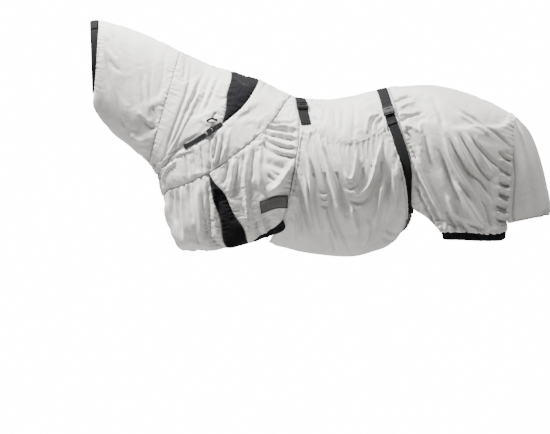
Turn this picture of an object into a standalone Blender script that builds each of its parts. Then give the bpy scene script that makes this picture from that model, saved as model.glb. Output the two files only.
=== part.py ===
"""Full-body fly sheet for a horse: cut panels, belly flap, tail flap, straps and buckles.

Metres, +Z up.  The head end points along -X, the tail along +X, and the side with the
buckles (the near side) faces -Y.  The origin is on the spine line at the withers, where
the sheet rests on the horse.

The sheet is a skin over one lofted body form.  A place on that form is (s, v): s counts
the section lines from the poll (0) to the dock (27), and v runs down one side from the
spine line (0) to the belly line (1).  Seams are curves of such places.
"""
import math

import bpy
import numpy as np
from mathutils import Matrix, Vector
from mathutils.geometry import delaunay_2d_cdt

# ---------------------------------------------------------------- driving dimensions
BACK_LENGTH = 1.23          # withers to dock
NECK_REACH = 0.78           # withers forward to the front edge of the poll band
GIRTH_DEPTH = 0.80          # withers down to the lowest hem
BARREL_HALF_WIDTH = 0.305   # spine line out to the widest place of the barrel

CLOTH = 0.002               # wall of every cloth panel
SEAM_GAP = 0.0016           # free gap between neighbouring panels
LAP_GAP = 0.0034            # free gap between a panel and what lies on it
FLAP_LIFT = 0.0110          # inside of the belly flap above the panels

FLAP_SEAM_DEPTH = 0.36      # withers down to where the flap is sewn on, on the off side
FLAP_FOLD_DEPTH = 0.66      # withers down to the fold line of the belly flap, near side

STRAP_WIDTH = 0.048
STRAP_THICKNESS = 0.0015
NECK_STRAP_WIDTH = 0.022
LOOP_WIDTH = 0.008
LOOP_RISE = 0.010           # how far the neck loop stands off the panel

BUCKLE_WALL = 0.0025
BUCKLE_HEIGHT = 0.010
BUCKLE_BAR = 0.003          # bar that holds the webbing
WEBBING_SLOT = 0.005
RUNNING_GAP = 0.0006        # clearance of a plug in its socket
BUCKLE_LIFT = 0.0056        # underside of a buckle above the panel
BUTT_GAP = 0.0010           # between the end of a strap and its buckle
KEEPER_LENGTH = 0.014       # ribbed keeper on the rear strap, along the webbing
KEEPER_WALL = 0.0016

LABEL_LENGTH = 0.146
LABEL_HEIGHT = 0.056
LABEL_THICKNESS = 0.0024

TAIL_FLAP_GAP = 0.006       # between the tail flap's top edge and the rump
SEAM_STEP = 0.050           # spacing of the points along a seam
CLOTH_STEP = 0.078          # spacing of the points inside a panel
STRAP_STEP = 0.028          # spacing of the points along a strap
BAND_POINTS = 28            # points round the poll band
FLAP_COLUMNS = 8            # cells of the belly flap from front to rear

# ---------------------------------------------------------------- body form
# Each section line: name, its top and bottom on the centre plane as (x, z), its half
# width, the height share of its widest place, the roundness of its upper and lower
# arcs, and how far open it is underneath.  x is a share of NECK_REACH in front of the
# withers and of BACK_LENGTH behind them; z of GIRTH_DEPTH; width of BARREL_HALF_WIDTH.
SECTIONS = [
    ("band_front", (-1.000, 0.344), (-0.985, -0.071), 0.33, 0.56, 1.00, 1.00, 0.00),
    ("band_rear", (-0.949, 0.350), (-0.976, -0.082), 0.34, 0.56, 1.00, 1.00, 0.00),
    ("throat", (-0.844, 0.329), (-0.976, -0.164), 0.36, 0.58, 1.02, 1.00, 0.00),
    ("neck_1", (-0.699, 0.282), (-0.880, -0.294), 0.39, 0.60, 1.05, 1.00, 0.00),
    ("neck_2", (-0.566, 0.223), (-0.753, -0.397), 0.42, 0.60, 1.10, 1.00, 0.00),
    ("neck_seam", (-0.457, 0.170), (-0.651, -0.488), 0.47, 0.60, 1.12, 1.00, 0.00),
    ("neck_base", (-0.289, 0.094), (-0.609, -0.540), 0.54, 0.60, 1.18, 1.00, 0.00),
    ("gusset_front", (-0.157, 0.053), (-0.588, -0.582), 0.62, 0.60, 1.20, 1.00, 0.00),
    ("withers_1", (-0.066, 0.026), (-0.566, -0.664), 0.70, 0.60, 1.20, 1.00, 0.00),
    ("withers_2", (0.008, 0.006), (-0.539, -0.764), 0.75, 0.59, 1.20, 0.95, 0.00),
    ("chest_1", (0.046, -0.021), (-0.506, -0.869), 0.80, 0.58, 1.18, 0.85, 0.00),
    ("chest_2", (0.080, -0.047), (-0.458, -0.987), 0.85, 0.57, 1.15, 0.75, 0.10),
    ("chest_3", (0.111, -0.071), (-0.319, -0.999), 0.88, 0.56, 1.12, 0.80, 0.62),
    ("elbow_1", (0.130, -0.085), (-0.169, -0.987), 0.90, 0.56, 1.10, 0.90, 0.84),
    ("elbow_2", (0.149, -0.097), (-0.036, -0.958), 0.93, 0.56, 1.08, 1.00, 0.72),
    ("girth", (0.168, -0.106), (0.061, -0.934), 0.96, 0.56, 1.06, 1.00, 0.38),
    ("back_1", (0.225, -0.113), (0.168, -0.969), 0.98, 0.56, 1.05, 1.00, 0.12),
    ("back_2", (0.302, -0.109), (0.283, -0.993), 1.00, 0.56, 1.04, 1.00, 0.00),
    ("back_3", (0.378, -0.088), (0.378, -0.996), 1.00, 0.56, 1.02, 1.00, 0.00),
    ("loin_1", (0.466, -0.056), (0.474, -0.958), 0.98, 0.55, 1.00, 1.00, 0.15),
    ("loin_2", (0.531, -0.038), (0.558, -0.917), 0.97, 0.52, 0.98, 1.00, 0.55),
    ("hip_1", (0.596, -0.031), (0.634, -0.934), 0.96, 0.48, 0.96, 1.00, 0.82),
    ("hip_2", (0.665, -0.029), (0.715, -0.949), 0.95, 0.46, 0.95, 1.00, 0.86),
    ("croup_1", (0.741, -0.047), (0.799, -0.955), 0.92, 0.46, 0.95, 1.00, 0.86),
    ("croup_2", (0.818, -0.082), (0.875, -0.955), 0.86, 0.46, 0.95, 1.00, 0.84),
    ("rump_1", (0.887, -0.123), (0.929, -0.952), 0.74, 0.47, 0.98, 1.00, 0.82),
    ("rump_2", (0.940, -0.162), (0.948, -0.940), 0.62, 0.50, 1.00, 1.00, 0.80),
    ("dock", (0.990, -0.206), (0.967, -0.922), 0.48, 0.52, 1.00, 1.00, 0.80),
]
LAST = len(SECTIONS) - 1

# ---------------------------------------------------------------- seams, as places (s, v)
SEAMS = {
    "poll_edge": [(1, 0), (1, 1)],
    "spine": [(1, 0), (LAST, 0)],
    "underline": [(1, 1), (14, 1)],
    "neck_seam": [(5, 0), (5, 1)],
    "collar_upper": [(7.0, 0), (7.6, .225), (8.35, .32), (8.7, .375)],
    "collar_lower": [(8.7, .375), (8.3, .425), (7.95, .465), (7.6, .52), (7.1, .605),
                     (6.8, .715), (6.55, .915), (6.5, 1)],
    "gusset_rear": [(9.05, 0), (9.3, .195), (9.25, .27), (9.0, .325), (8.7, .375)],
    "yoke_upper": [(13.55, 0), (12.7, .15), (12.35, .24), (11.8, .315), (11.3, .375),
                   (10.9, .415), (10.4, .475), (10.0, .53)],
    "yoke_lower": [(10.0, .53), (9.45, .605), (8.8, .71), (8.25, .825), (8.2, 1)],
    "shoulder_gusset_front": [(10.0, .53), (10.8, .56), (11.6, .63), (12.3, .735),
                              (12.85, .91), (12.95, 1)],
    "shoulder_gusset_rear": [(10.0, .53), (11.35, .545), (12.75, .68), (13.55, .795), (14.0, 1)],
    "girth_upper": [(13.95, 0), (15.05, .18), (15.3, .265), (15.42, .36), (15.42, .455)],
    "girth_lower": [(15.42, .455), (15.4, .54), (15.38, .61), (15.35, .66), (15.3, .735)],
    "shoulder_hem": [(14.0, 1), (14.25, .91), (14.65, .855), (15.0, .81), (15.3, .735)],
    "elbow_hem": [(14.0, 1), (14.55, .955), (15.1, .88), (15.42, .80), (15.3, .735)],
    "back_hem": [(15.38, .61), (15.75, .53), (16.3, .465), (19.6, .46), (20.15, .49),
                 (20.71, .54)],
    "hind_front_upper": [(19.55, 0), (19.72, .12), (20.0, .235), (20.2, .335), (20.45, .41),
                         (20.58, .455)],
    "hind_front_lower": [(20.58, .455), (20.71, .54), (20.77, .60), (20.79, .665), (20.84, .715),
                         (21.3, .76), (21.95, .845)],
    "hind_hem": [(21.95, .845), (23.05, .84), (24.05, .845), (25.3, .84), (26.45, .84)],
    "hind_band_front": [(21.95, .845), (22.0, .93)],
    "hind_band_hem": [(22.0, .93), (23.0, .93), (24.0, .94), (25.3, .945), (26.42, .945)],
    "hind_band_rear": [(26.45, .84), (26.42, .945)],
    "hind_rear": [(27.0, 0), (27.0, .225), (27.0, .35), (26.95, .475), (26.85, .595),
                  (26.7, .715), (26.45, .84)],
}
# Each panel is the region of the cut cloth that holds this place; its finish follows.
PANELS = {
    "neck_panel": ((3.0, .5), "silver_cloth"),
    "neck_rear_panel": ((6.0, .4), "silver_cloth"),
    "withers_gusset": ((8.3, .15), "black_mesh"),
    "yoke": ((10.2, .25), "silver_cloth"),
    "chest_panel": ((10.5, .8), "silver_cloth"),
    "shoulder_gusset": ((12.9, .8), "black_mesh"),
    "shoulder_panel": ((13.6, .4), "silver_cloth"),
    "girth_gusset": ((14.9, .865), "black_mesh"),
    "back_panel": ((17.5, .25), "silver_cloth"),
    "hindquarter": ((23.5, .5), "silver_cloth"),
    "hind_hem_band": ((24.0, .89), "black_elastic"),
}
# Belly flap: its top edge, and its front and rear edges down to the belly line.
FLAP_TOP = [(15.52, .25), (15.85, .255), (16.3, .285), (16.9, .32), (17.55, .34), (18.15, .345),
            (18.6, .34), (19.1, .315), (19.40, .31)]
FLAP_FRONT = [(15.52, .25), (15.5, .36), (15.5, .52), (15.48, .66), (15.38, .73), (15.25, .80),
              (15.08, .88), (14.95, 1)]
FLAP_REAR = [(19.40, .31), (19.54, .355), (19.79, .405), (20.15, .51), (20.35, .59), (20.45, .66),
             (20.4, .735), (20.15, .815), (19.9, .875), (19.5, 1)]
# Straps: centre lines from the spine line down.
FRONT_STRAP = [(14.98, .03), (15.22, .12), (15.4, .185), (15.55, .225), (15.68, .262)]
REAR_STRAP = [(19.17, .035), (19.33, .14), (19.53, .235), (19.7, .30), (19.85, .34),
              (20.1, .41), (20.3, .48), (20.4, .56), (20.44, .64), (20.42, .70), (20.38, .74)]
NECK_STRAP = [(8.68, .372), (8.4, .41), (8.05, .455), (7.65, .505), (7.35, .56)]
NECK_LOOP = [(8.25, .373), (8.0, .379), (7.78, .39), (7.62, .408)]
FRONT_BUCKLE_AT = 0.50      # share of the strap's points where the buckle's centre lies
REAR_BUCKLE_AT = 0.29
REAR_SLIDER_AT = 0.382
NECK_BUCKLE_AT = 0.33
LABEL_CORNERS = [(13.78, .610), (15.33, .592), (15.40, .66), (14.13, .688)]

# Tail flap: rows from the dock down, as (x, z) of its centre line and of its free edge,
# in metres behind and below the dock, and its half width there.
TAIL_ROWS = [
    ((0.002, -0.004), (0.004, -0.030), 0.052),
    ((0.047, -0.060), (-0.016, -0.105), 0.088),
    ((0.080, -0.126), (-0.024, -0.190), 0.112),
    ((0.112, -0.220), (-0.030, -0.295), 0.126),
    ((0.133, -0.305), (-0.040, -0.395), 0.131),
    ((0.157, -0.425), (-0.050, -0.470), 0.131),
    ((0.152, -0.470), (-0.040, -0.510), 0.129),
]

FINISHES = {
    "silver_cloth": ((0.69, 0.68, 0.66), 0.5, 0.0),
    "black_mesh": ((0.02, 0.02, 0.022), 0.75, 0.0),
    "black_elastic": ((0.03, 0.03, 0.032), 0.7, 0.0),
    "black_webbing": ((0.025, 0.025, 0.028), 0.65, 0.0),
    "black_plastic": ((0.02, 0.02, 0.021), 0.35, 0.0),
    "grey_label": ((0.16, 0.16, 0.17), 0.45, 0.0),
}


# ---------------------------------------------------------------- curves and the form
def read_rows(rows, where):
    """Value at a position, counted in rows, on the smooth curve through the rows."""
    rows = np.asarray(rows, float)
    where = np.clip(where, 0, len(rows) - 1)
    i = min(int(where), len(rows) - 2)
    f = where - i
    p1, p2 = rows[i], rows[i + 1]
    m1 = (p2 - rows[i - 1]) / 2 if i else p2 - p1
    m2 = (rows[i + 2] - p1) / 2 if i + 2 < len(rows) else p2 - p1
    return ((2 * f**3 - 3 * f**2 + 1) * p1 + (f**3 - 2 * f**2 + f) * m1
            + (3 * f**2 - 2 * f**3) * p2 + (f**3 - f**2) * m2)


def section_rows():
    """The section table in metres, with the lining at the withers on the origin."""
    def reach(x):
        return x * (NECK_REACH if x < 0 else BACK_LENGTH)
    rows = np.array([[reach(top[0]), top[1] * GIRTH_DEPTH, reach(low[0]), low[1] * GIRTH_DEPTH,
                      width * BARREL_HALF_WIDTH, *shape]
                     for _, top, low, width, *shape in SECTIONS])
    lining_at_withers = np.interp(0, rows[:, 0], rows[:, 1]) - CLOTH
    rows[:, (1, 3)] -= lining_at_withers
    return rows


ROWS = section_rows()


def on_form(s, v, closed=False):
    """Point of the near side's form; closed shuts the section underneath, as the flap does."""
    x0, z0, x1, z1, width, widest, upper, lower, opening = read_rows(ROWS, s)
    turn = math.pi * min(max(v, 0.0), 1.0)
    bow = max(math.sin(turn), 0.0)
    if v <= 0.5:
        depth, out = widest * (1 - math.cos(turn)), width * bow**upper
    else:
        opening = 0.0 if closed else max(opening, 0.0)
        depth = widest - (1 - widest) * math.cos(turn)
        out = width * (opening + (1 - opening) * bow**lower)
    return Vector((x0 + (x1 - x0) * depth, -out, z0 + (z1 - z0) * depth))


def around_form(s, a, closed=False):
    """Point at a, which runs 0..1 down the near side and on, 1..2, up the off side."""
    point = on_form(s, min(a, 2 - a), closed)
    return Vector((point.x, -point.y, point.z)) if a > 1 else point


def outward(s, a, closed=False):
    """Unit normal of the form, away from the horse."""
    ds, da = 0.05, 0.004
    low, high = (0.0, 1.0) if a <= 1 else (1.0, 2.0)
    along = (around_form(min(s + ds, LAST), a, closed) - around_form(max(s - ds, 0), a, closed))
    down = (around_form(s, min(a + da, high), closed) - around_form(s, max(a - da, low), closed))
    return down.cross(along).normalized()


def place(s, a, lift=0.0, closed=False):
    """Point at a lift above the form."""
    return around_form(s, a, closed) + outward(s, a, closed) * lift


def v_at_depth(s, z):
    """v on the near side where the closed form is at height z."""
    _, z0, _, z1, _, widest, *_ = read_rows(ROWS, s)
    depth = (z - z0) / (z1 - z0)
    cosine = 1 - depth / widest if depth <= widest else -(depth - widest) / (1 - widest)
    return math.acos(min(max(cosine, -1.0), 1.0)) / math.pi


# ---------------------------------------------------------------- objects
def add_object(name, points, faces, finish, matrix=None):
    """One named mesh object with its own material; matrix places it."""
    mesh = bpy.data.meshes.new(name)
    mesh.from_pydata([tuple(point) for point in points], [], faces)
    mesh.update()
    obj = bpy.data.objects.new(name, mesh)
    bpy.context.collection.objects.link(obj)
    if matrix is not None:
        obj.matrix_world = matrix
    colour, roughness, metallic = FINISHES[finish]
    material = bpy.data.materials.new(name + "_finish")
    material.use_nodes = True
    shader = material.node_tree.nodes["Principled BSDF"]
    shader.inputs["Base Color"].default_value = (*colour, 1)
    shader.inputs["Roughness"].default_value = roughness
    shader.inputs["Metallic"].default_value = metallic
    mesh.materials.append(material)
    return obj


def grid_shell(name, outer, inner, finish, ring=False):
    """Closed thin shell between two equal grids of points; ring joins last column to first."""
    rows, columns = len(outer), len(outer[0])
    points = [p for row in outer for p in row] + [p for row in inner for p in row]
    size = rows * columns

    def at(r, c, side):
        return side * size + r * columns + c % columns
    faces = []
    for r in range(rows - 1):
        for c in range(columns if ring else columns - 1):
            faces.append((at(r, c, 0), at(r + 1, c, 0), at(r + 1, c + 1, 0), at(r, c + 1, 0)))
            faces.append((at(r, c, 1), at(r, c + 1, 1), at(r + 1, c + 1, 1), at(r + 1, c, 1)))
    for c in range(columns if ring else columns - 1):
        faces.append((at(0, c, 0), at(0, c + 1, 0), at(0, c + 1, 1), at(0, c, 1)))
        faces.append((at(rows - 1, c + 1, 0), at(rows - 1, c, 0), at(rows - 1, c, 1),
                      at(rows - 1, c + 1, 1)))
    if not ring:
        last = columns - 1
        for r in range(rows - 1):
            faces.append((at(r + 1, 0, 0), at(r, 0, 0), at(r, 0, 1), at(r + 1, 0, 1)))
            faces.append((at(r, last, 0), at(r + 1, last, 0), at(r + 1, last, 1), at(r, last, 1)))
    return add_object(name, points, faces, finish)


# ---------------------------------------------------------------- cut panels
class Cloth:
    """One side of the sheet laid flat, triangulated once and cut along every seam."""

    def __init__(self):
        spans = [(on_form(s + 1, .35) - on_form(s, .35)).length for s in range(LAST)]
        self.run = np.concatenate([[0], np.cumsum(spans)])
        middle = [on_form(18, k / 40) for k in range(41)]
        self.drop = sum((b - a).length for a, b in zip(middle, middle[1:]))
        self.points, self.edges = [], []
        for seam in SEAMS.values():
            self.add_seam(seam)
        self.add_inner_points()
        self.triangulate()

    def flat(self, s, v):
        return np.array((np.interp(s, range(LAST + 1), self.run), v * self.drop))

    def folded(self, point):
        return np.interp(point[0], self.run, range(LAST + 1)), point[1] / self.drop

    def add_seam(self, seam):
        """Points at an even step along a seam, the seam's own points among them."""
        first = len(self.points)
        for k in range(len(seam) - 1):
            length = np.linalg.norm(self.flat(*seam[k + 1]) - self.flat(*seam[k]))
            count = max(round(length / SEAM_STEP), 1)
            self.points += [self.flat(*read_rows(seam, k + j / count)) for j in range(count)]
        self.points.append(self.flat(*seam[-1]))
        self.edges += [(i, i + 1) for i in range(first, len(self.points) - 1)]

    def add_inner_points(self):
        """A triangular lattice, kept clear of the seams."""
        seam_points = np.array(self.points)
        step = CLOTH_STEP
        for r in range(1, int(self.drop / (step * .866))):
            for c in range(int(self.run[-1] / step)):
                point = np.array(((c + .5 + .5 * (r % 2)) * step, r * step * .866))
                if np.min(np.linalg.norm(seam_points - point, axis=1)) > step * .62:
                    self.points.append(point)

    def triangulate(self):
        vertices, edges, faces, _, sources, _ = delaunay_2d_cdt(
            [Vector(p) for p in self.points], self.edges, [], 0, 1e-5)
        self.vertices = [np.array(v) for v in vertices]
        self.faces = [tuple(face) for face in faces]
        seam_edges = {frozenset(edge) for edge, source in zip(edges, sources) if source}
        owners = {}
        for f, face in enumerate(self.faces):
            for i in range(3):
                owners.setdefault(frozenset((face[i], face[(i + 1) % 3])), []).append(f)
        self.neighbours = [[] for _ in self.faces]
        for edge, pair in owners.items():
            if len(pair) == 2 and edge not in seam_edges:
                self.neighbours[pair[0]].append(pair[1])
                self.neighbours[pair[1]].append(pair[0])

    def region(self, seed):
        """Faces reached from the one that holds the seed, without crossing a seam."""
        target = self.flat(*seed)

        def side(a, b):
            return (b[0] - a[0]) * (target[1] - a[1]) - (b[1] - a[1]) * (target[0] - a[0])
        for f, (i, j, k) in enumerate(self.faces):
            a, b, c = self.vertices[i], self.vertices[j], self.vertices[k]
            signs = [side(a, b), side(b, c), side(c, a)]
            if min(signs) >= 0 or max(signs) <= 0:
                break
        found, queue = {f}, [f]
        while queue:
            for n in self.neighbours[queue.pop()]:
                if n not in found:
                    found.add(n)
                    queue.append(n)
        return sorted(found)


def cut_panel(cloth, name, seed, finish):
    """A pair of closed panels, near and off side, from one region of the cloth."""
    faces = [cloth.faces[f] for f in cloth.region(seed)]
    used = sorted({i for face in faces for i in face})
    number = {old: new for new, old in enumerate(used)}
    faces = [tuple(number[i] for i in face) for face in faces]
    places = [cloth.folded(cloth.vertices[i]) for i in used]
    points = [on_form(s, v) for s, v in places]
    normals = [outward(s, v) for s, v in places]
    if (points[faces[0][1]] - points[faces[0][0]]).cross(
            points[faces[0][2]] - points[faces[0][0]]).dot(normals[faces[0][0]]) < 0:
        faces = [face[::-1] for face in faces]
    directed = {(face[i], face[(i + 1) % 3]) for face in faces for i in range(3)}
    rim = [edge for edge in directed if edge[::-1] not in directed]
    shift = [Vector() for _ in points]
    for a, b in rim:
        inward = normals[a].cross(points[b] - points[a]).normalized()
        shift[a] += inward
        shift[b] += inward
    top = [p + step_in(move, SEAM_GAP / 2) for p, move in zip(points, shift)]
    low = [p - n * CLOTH for p, n in zip(top, normals)]
    for point in top + low:                     # each side keeps to its own half
        point.y = min(point.y, -SEAM_GAP / 2)
    count = len(points)
    shell = faces + [tuple(i + count for i in face[::-1]) for face in faces]
    shell += [(b, a, a + count, b + count) for a, b in rim]
    add_object(name + "_left", top + low, shell, finish)
    mirrored = [Vector((p.x, -p.y, p.z)) for p in top + low]
    add_object(name + "_right", mirrored, [face[::-1] for face in shell], finish)


def step_in(move, distance):
    """Mitred step from a rim corner, given the sum of its two edges' inward directions."""
    if move.length < 1e-6:
        return Vector()
    return move.normalized() * distance * min(2 / move.length, 3)


def cut_all_panels():
    cloth = Cloth()
    for name, (seed, finish) in PANELS.items():
        cut_panel(cloth, name, seed, finish)


# ---------------------------------------------------------------- band, flaps and label
def poll_band():
    """Elastic ring round the head opening, with its overlapping closing tab."""
    turns = [2 * k / BAND_POINTS for k in range(BAND_POINTS)]
    gap = (SEAM_GAP / 2) / (on_form(1, .3) - on_form(0, .3)).length
    lengths = (1.0 - gap, 0.5, 0.0)
    outer = [[place(s, a) for a in turns] for s in lengths]
    inner = [[place(s, a, -CLOTH) for a in turns] for s in lengths]
    grid_shell("poll_band", outer, inner, "black_elastic", ring=True)
    drops = (0.06, 0.11, 0.16, 0.21)            # the tab's columns, down the near side
    lengths = (0.9, 0.5, 0.06)                  # its rows, from the rear to the front edge
    outer = [[place(s, a, LAP_GAP + CLOTH) for a in drops] for s in lengths]
    inner = [[place(s, a, LAP_GAP) for a in drops] for s in lengths]
    grid_shell("poll_band_tab", outer, inner, "black_elastic")


def s_on(curve, v):
    """s of an edge curve where it passes v, read between its points."""
    return float(np.interp(v, [p[1] for p in curve], [p[0] for p in curve]))


def flap_grid(lift, top_of, bottom_of, rows):
    """Grid of the belly flap between two limits in a, each a function of s."""
    grid = []
    for r in range(rows + 1):
        row = []
        for c in range(FLAP_COLUMNS + 1):
            t, u = r / rows, c / FLAP_COLUMNS
            s = s_on(FLAP_FRONT, .5) + (s_on(FLAP_REAR, .5) - s_on(FLAP_FRONT, .5)) * u
            for _ in range(6):                  # the limits and the edges depend on each other
                a = top_of(s) + (bottom_of(s) - top_of(s)) * t
                v = min(a, 2 - a)
                front, rear = s_on(FLAP_FRONT, v), s_on(FLAP_REAR, v)
                s = front + (rear - front) * u
            row.append(place(s, a, lift, closed=True))
        grid.append(row)
    return grid


def flap_top(s):
    return float(np.interp(s, [p[0] for p in FLAP_TOP], [p[1] for p in FLAP_TOP]))


def flap_fold(s):
    return v_at_depth(s, -FLAP_FOLD_DEPTH)


def belly_flap():
    """The near side's wall, which folds down, and the part under the belly to the off side."""
    half_gap = SEAM_GAP / 2 / GIRTH_DEPTH

    def fold_above(s):
        return flap_fold(s) - half_gap

    def fold_below(s):
        return flap_fold(s) + half_gap

    def off_seam(s):
        return 2 - v_at_depth(s, -FLAP_SEAM_DEPTH)
    for name, top, low, rows in (("belly_flap_side", flap_top, fold_above, 7),
                                 ("belly_flap_under", fold_below, off_seam, 14)):
        outer = flap_grid(FLAP_LIFT + CLOTH, top, low, rows)
        inner = flap_grid(FLAP_LIFT, top, low, rows)
        grid_shell(name, outer, inner, "silver_cloth")


def tail_flap():
    """Flap that hangs from the dock over the tail."""
    dock = on_form(LAST, 0)
    spread = [k / 6 for k in range(-6, 7)]

    def row(centre, edge, width, inset):
        points = []
        for u in spread:
            back = math.cos(math.pi * u / 2) ** .8 if abs(u) < 1 else 0.0
            x = edge[0] + (centre[0] - inset - edge[0]) * back
            z = edge[1] + (centre[1] - edge[1]) * back
            y = (width - inset) * math.sin(math.pi * u / 2)
            points.append(dock + Vector((TAIL_FLAP_GAP + x, y, z)))
        return points
    outer = [row(*line, 0.0) for line in TAIL_ROWS]
    inner = [row(*line, CLOTH) for line in TAIL_ROWS]
    grid_shell("tail_flap", outer, inner, "silver_cloth")


def label_patch():
    """Flat woven label on the near shoulder panel, clear of the panel's highest point."""
    front_top, rear_top, rear_low, front_low = [Vector(on_form(*p)) for p in LABEL_CORNERS]
    centre = (front_top + rear_top + rear_low + front_low) / 4
    along = (rear_top - front_top + rear_low - front_low).normalized()
    normal = along.cross(front_top - front_low + rear_top - rear_low).normalized()
    up = normal.cross(along)
    heights = [(on_form(s / 10, v / 50) - centre).dot(normal)
               for s in range(136, 156, 2) for v in range(29, 36)]
    centre += normal * (max(heights) + LAP_GAP / 2)
    corner = (LABEL_LENGTH / 2, LABEL_HEIGHT / 2)
    turn = Matrix((along, up, normal)).transposed().to_4x4()
    points = [(x * corner[0], y * corner[1], z) for z in (0, LABEL_THICKNESS)
              for x, y in ((-1, -1), (1, -1), (1, 1), (-1, 1))]
    faces = [(3, 2, 1, 0), (4, 5, 6, 7), (0, 1, 5, 4), (1, 2, 6, 5), (2, 3, 7, 6), (3, 0, 4, 7)]
    add_object("label_patch", points, faces, "grey_label", Matrix.Translation(centre) @ turn)


# ---------------------------------------------------------------- straps
class Route:
    """A strap's centre line on the form, measured in metres from its upper end."""

    def __init__(self, centre, closed):
        self.centre, self.closed = centre, closed
        steps = 12 * (len(centre) - 1)
        self.shares = [k / steps for k in range(steps + 1)]
        points = [place(*read_rows(centre, w * (len(centre) - 1)), 0, closed) for w in self.shares]
        spans = [(b - a).length for a, b in zip(points, points[1:])]
        self.metres = np.concatenate([[0], np.cumsum(spans)])
        self.length = float(self.metres[-1])

    def at(self, metres):
        share = float(np.interp(metres, self.metres, self.shares))
        return read_rows(self.centre, share * (len(self.centre) - 1))

    def frame(self, metres, lift=0.0):
        """Matrix at a place: x across the strap, y down it, z away from the horse."""
        s, a = self.at(metres)
        before, after = self.at(metres - .004), self.at(metres + .004)
        down = place(*after, 0, self.closed) - place(*before, 0, self.closed)
        normal = outward(s, a, self.closed)
        down = (down - normal * down.dot(normal)).normalized()
        turn = Matrix((down.cross(normal), down, normal)).transposed().to_4x4()
        return Matrix.Translation(place(s, a, lift, self.closed)) @ turn


def strap(name, route, start, end, width, finish, rise=None):
    """Flat webbing along a route; rise lifts it further, as a function of 0..1."""
    count = max(round((end - start) / STRAP_STEP), 2)
    outer, inner = [], []
    for k in range(count + 1):
        metres = start + (end - start) * k / count
        lift = LAP_GAP + (rise(k / count) if rise else 0.0)
        matrix = route.frame(metres, lift)
        across = Vector((width / 2, 0, 0))
        inner.append([matrix @ across, matrix @ -across])
        up = Vector((0, 0, STRAP_THICKNESS))
        outer.append([matrix @ (up + across), matrix @ (up - across)])
    return grid_shell(name, outer, inner, finish)


# ---------------------------------------------------------------- buckles
def block(low, high):
    """Corners and faces of a box between two corners."""
    points = [(x, y, z) for z in (low[2], high[2])
              for x, y in ((low[0], low[1]), (high[0], low[1]), (high[0], high[1]), (low[0], high[1]))]
    faces = [(3, 2, 1, 0), (4, 5, 6, 7), (0, 1, 5, 4), (1, 2, 6, 5), (2, 3, 7, 6), (3, 0, 4, 7)]
    return points, faces


def combine(obj, low, high, operation):
    """Cut a box from the object, or join one to it."""
    tool = add_object(f"{obj.name}_tool_{len(obj.modifiers)}", *block(low, high), "black_plastic",
                      obj.matrix_world)
    tool.hide_render = True
    tool.display_type = "WIRE"
    modifier = obj.modifiers.new(operation.title(), "BOOLEAN")
    modifier.operation = operation
    modifier.solver = "EXACT"
    modifier.object = tool


class Buckle:
    """Side-release buckle for one width of webbing; its frame has y down the strap."""

    def __init__(self, name, webbing):
        self.name = name
        self.half_slot = webbing / 2 + RUNNING_GAP
        self.half_width = self.half_slot + BUCKLE_WALL
        self.bar_length = 2 * BUCKLE_BAR + WEBBING_SLOT
        self.reach = 0.30 * webbing + 0.010        # how deep the prongs enter
        self.socket_length = self.bar_length + self.reach + 2 * BUCKLE_WALL
        self.plug_length = self.bar_length
        self.mouth = (self.socket_length - self.plug_length) / 2

    def span(self):
        """From the buckle's centre up to its upper end and down to its lower end."""
        return self.socket_length - self.mouth, self.mouth + BUTT_GAP + self.plug_length

    def slot(self, obj, y):
        """The slot that the webbing turns through, from y on down."""
        combine(obj, (-self.half_slot, y, -BUCKLE_WALL), (self.half_slot, y + WEBBING_SLOT,
                BUCKLE_HEIGHT + BUCKLE_WALL), "DIFFERENCE")

    def socket(self, matrix):
        top = self.mouth - self.socket_length
        obj = add_object(self.name + "_socket", *block((-self.half_width, top, 0),
                         (self.half_width, self.mouth, BUCKLE_HEIGHT)), "black_plastic", matrix)
        self.slot(obj, top + BUCKLE_BAR)
        pocket = self.half_width - BUCKLE_WALL
        combine(obj, (-pocket, self.mouth - self.reach - BUCKLE_WALL, BUCKLE_WALL),
                (pocket, self.mouth + BUCKLE_WALL, BUCKLE_HEIGHT - BUCKLE_WALL), "DIFFERENCE")
        window = self.mouth - self.reach * .75, self.mouth - self.reach * .3
        combine(obj, (-2 * self.half_width, window[0], BUCKLE_WALL),
                (2 * self.half_width, window[1], BUCKLE_HEIGHT - BUCKLE_WALL), "DIFFERENCE")

    def plug(self, matrix):
        start = self.mouth + BUTT_GAP
        obj = add_object(self.name + "_plug", *block((-self.half_width, start, 0),
                         (self.half_width, start + self.plug_length, BUCKLE_HEIGHT)),
                         "black_plastic", matrix)
        self.slot(obj, start + BUCKLE_BAR)
        pocket = self.half_width - BUCKLE_WALL - RUNNING_GAP
        low, high = BUCKLE_WALL + RUNNING_GAP, BUCKLE_HEIGHT - BUCKLE_WALL - RUNNING_GAP
        prong = pocket * .3
        for x in (-pocket, pocket - prong):
            combine(obj, (x, self.mouth - self.reach, low), (x + prong, start + BUCKLE_BAR / 2, high),
                    "UNION")
        combine(obj, (-pocket * .2, self.mouth - self.reach * .7, low),
                (pocket * .2, start + BUCKLE_BAR / 2, high), "UNION")


def strap_slider(name, route, metres):
    """Ribbed keeper that runs on the webbing."""
    half = STRAP_WIDTH / 2 + RUNNING_GAP
    low, high = -RUNNING_GAP, STRAP_THICKNESS + 2 * RUNNING_GAP
    wall = KEEPER_WALL
    obj = add_object(name, *block((-half - wall, -KEEPER_LENGTH / 2, low - wall),
                     (half + wall, KEEPER_LENGTH / 2, high + 2 * wall)), "black_plastic",
                     route.frame(metres, LAP_GAP))
    combine(obj, (-half, -KEEPER_LENGTH, low), (half, KEEPER_LENGTH, high), "DIFFERENCE")


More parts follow.
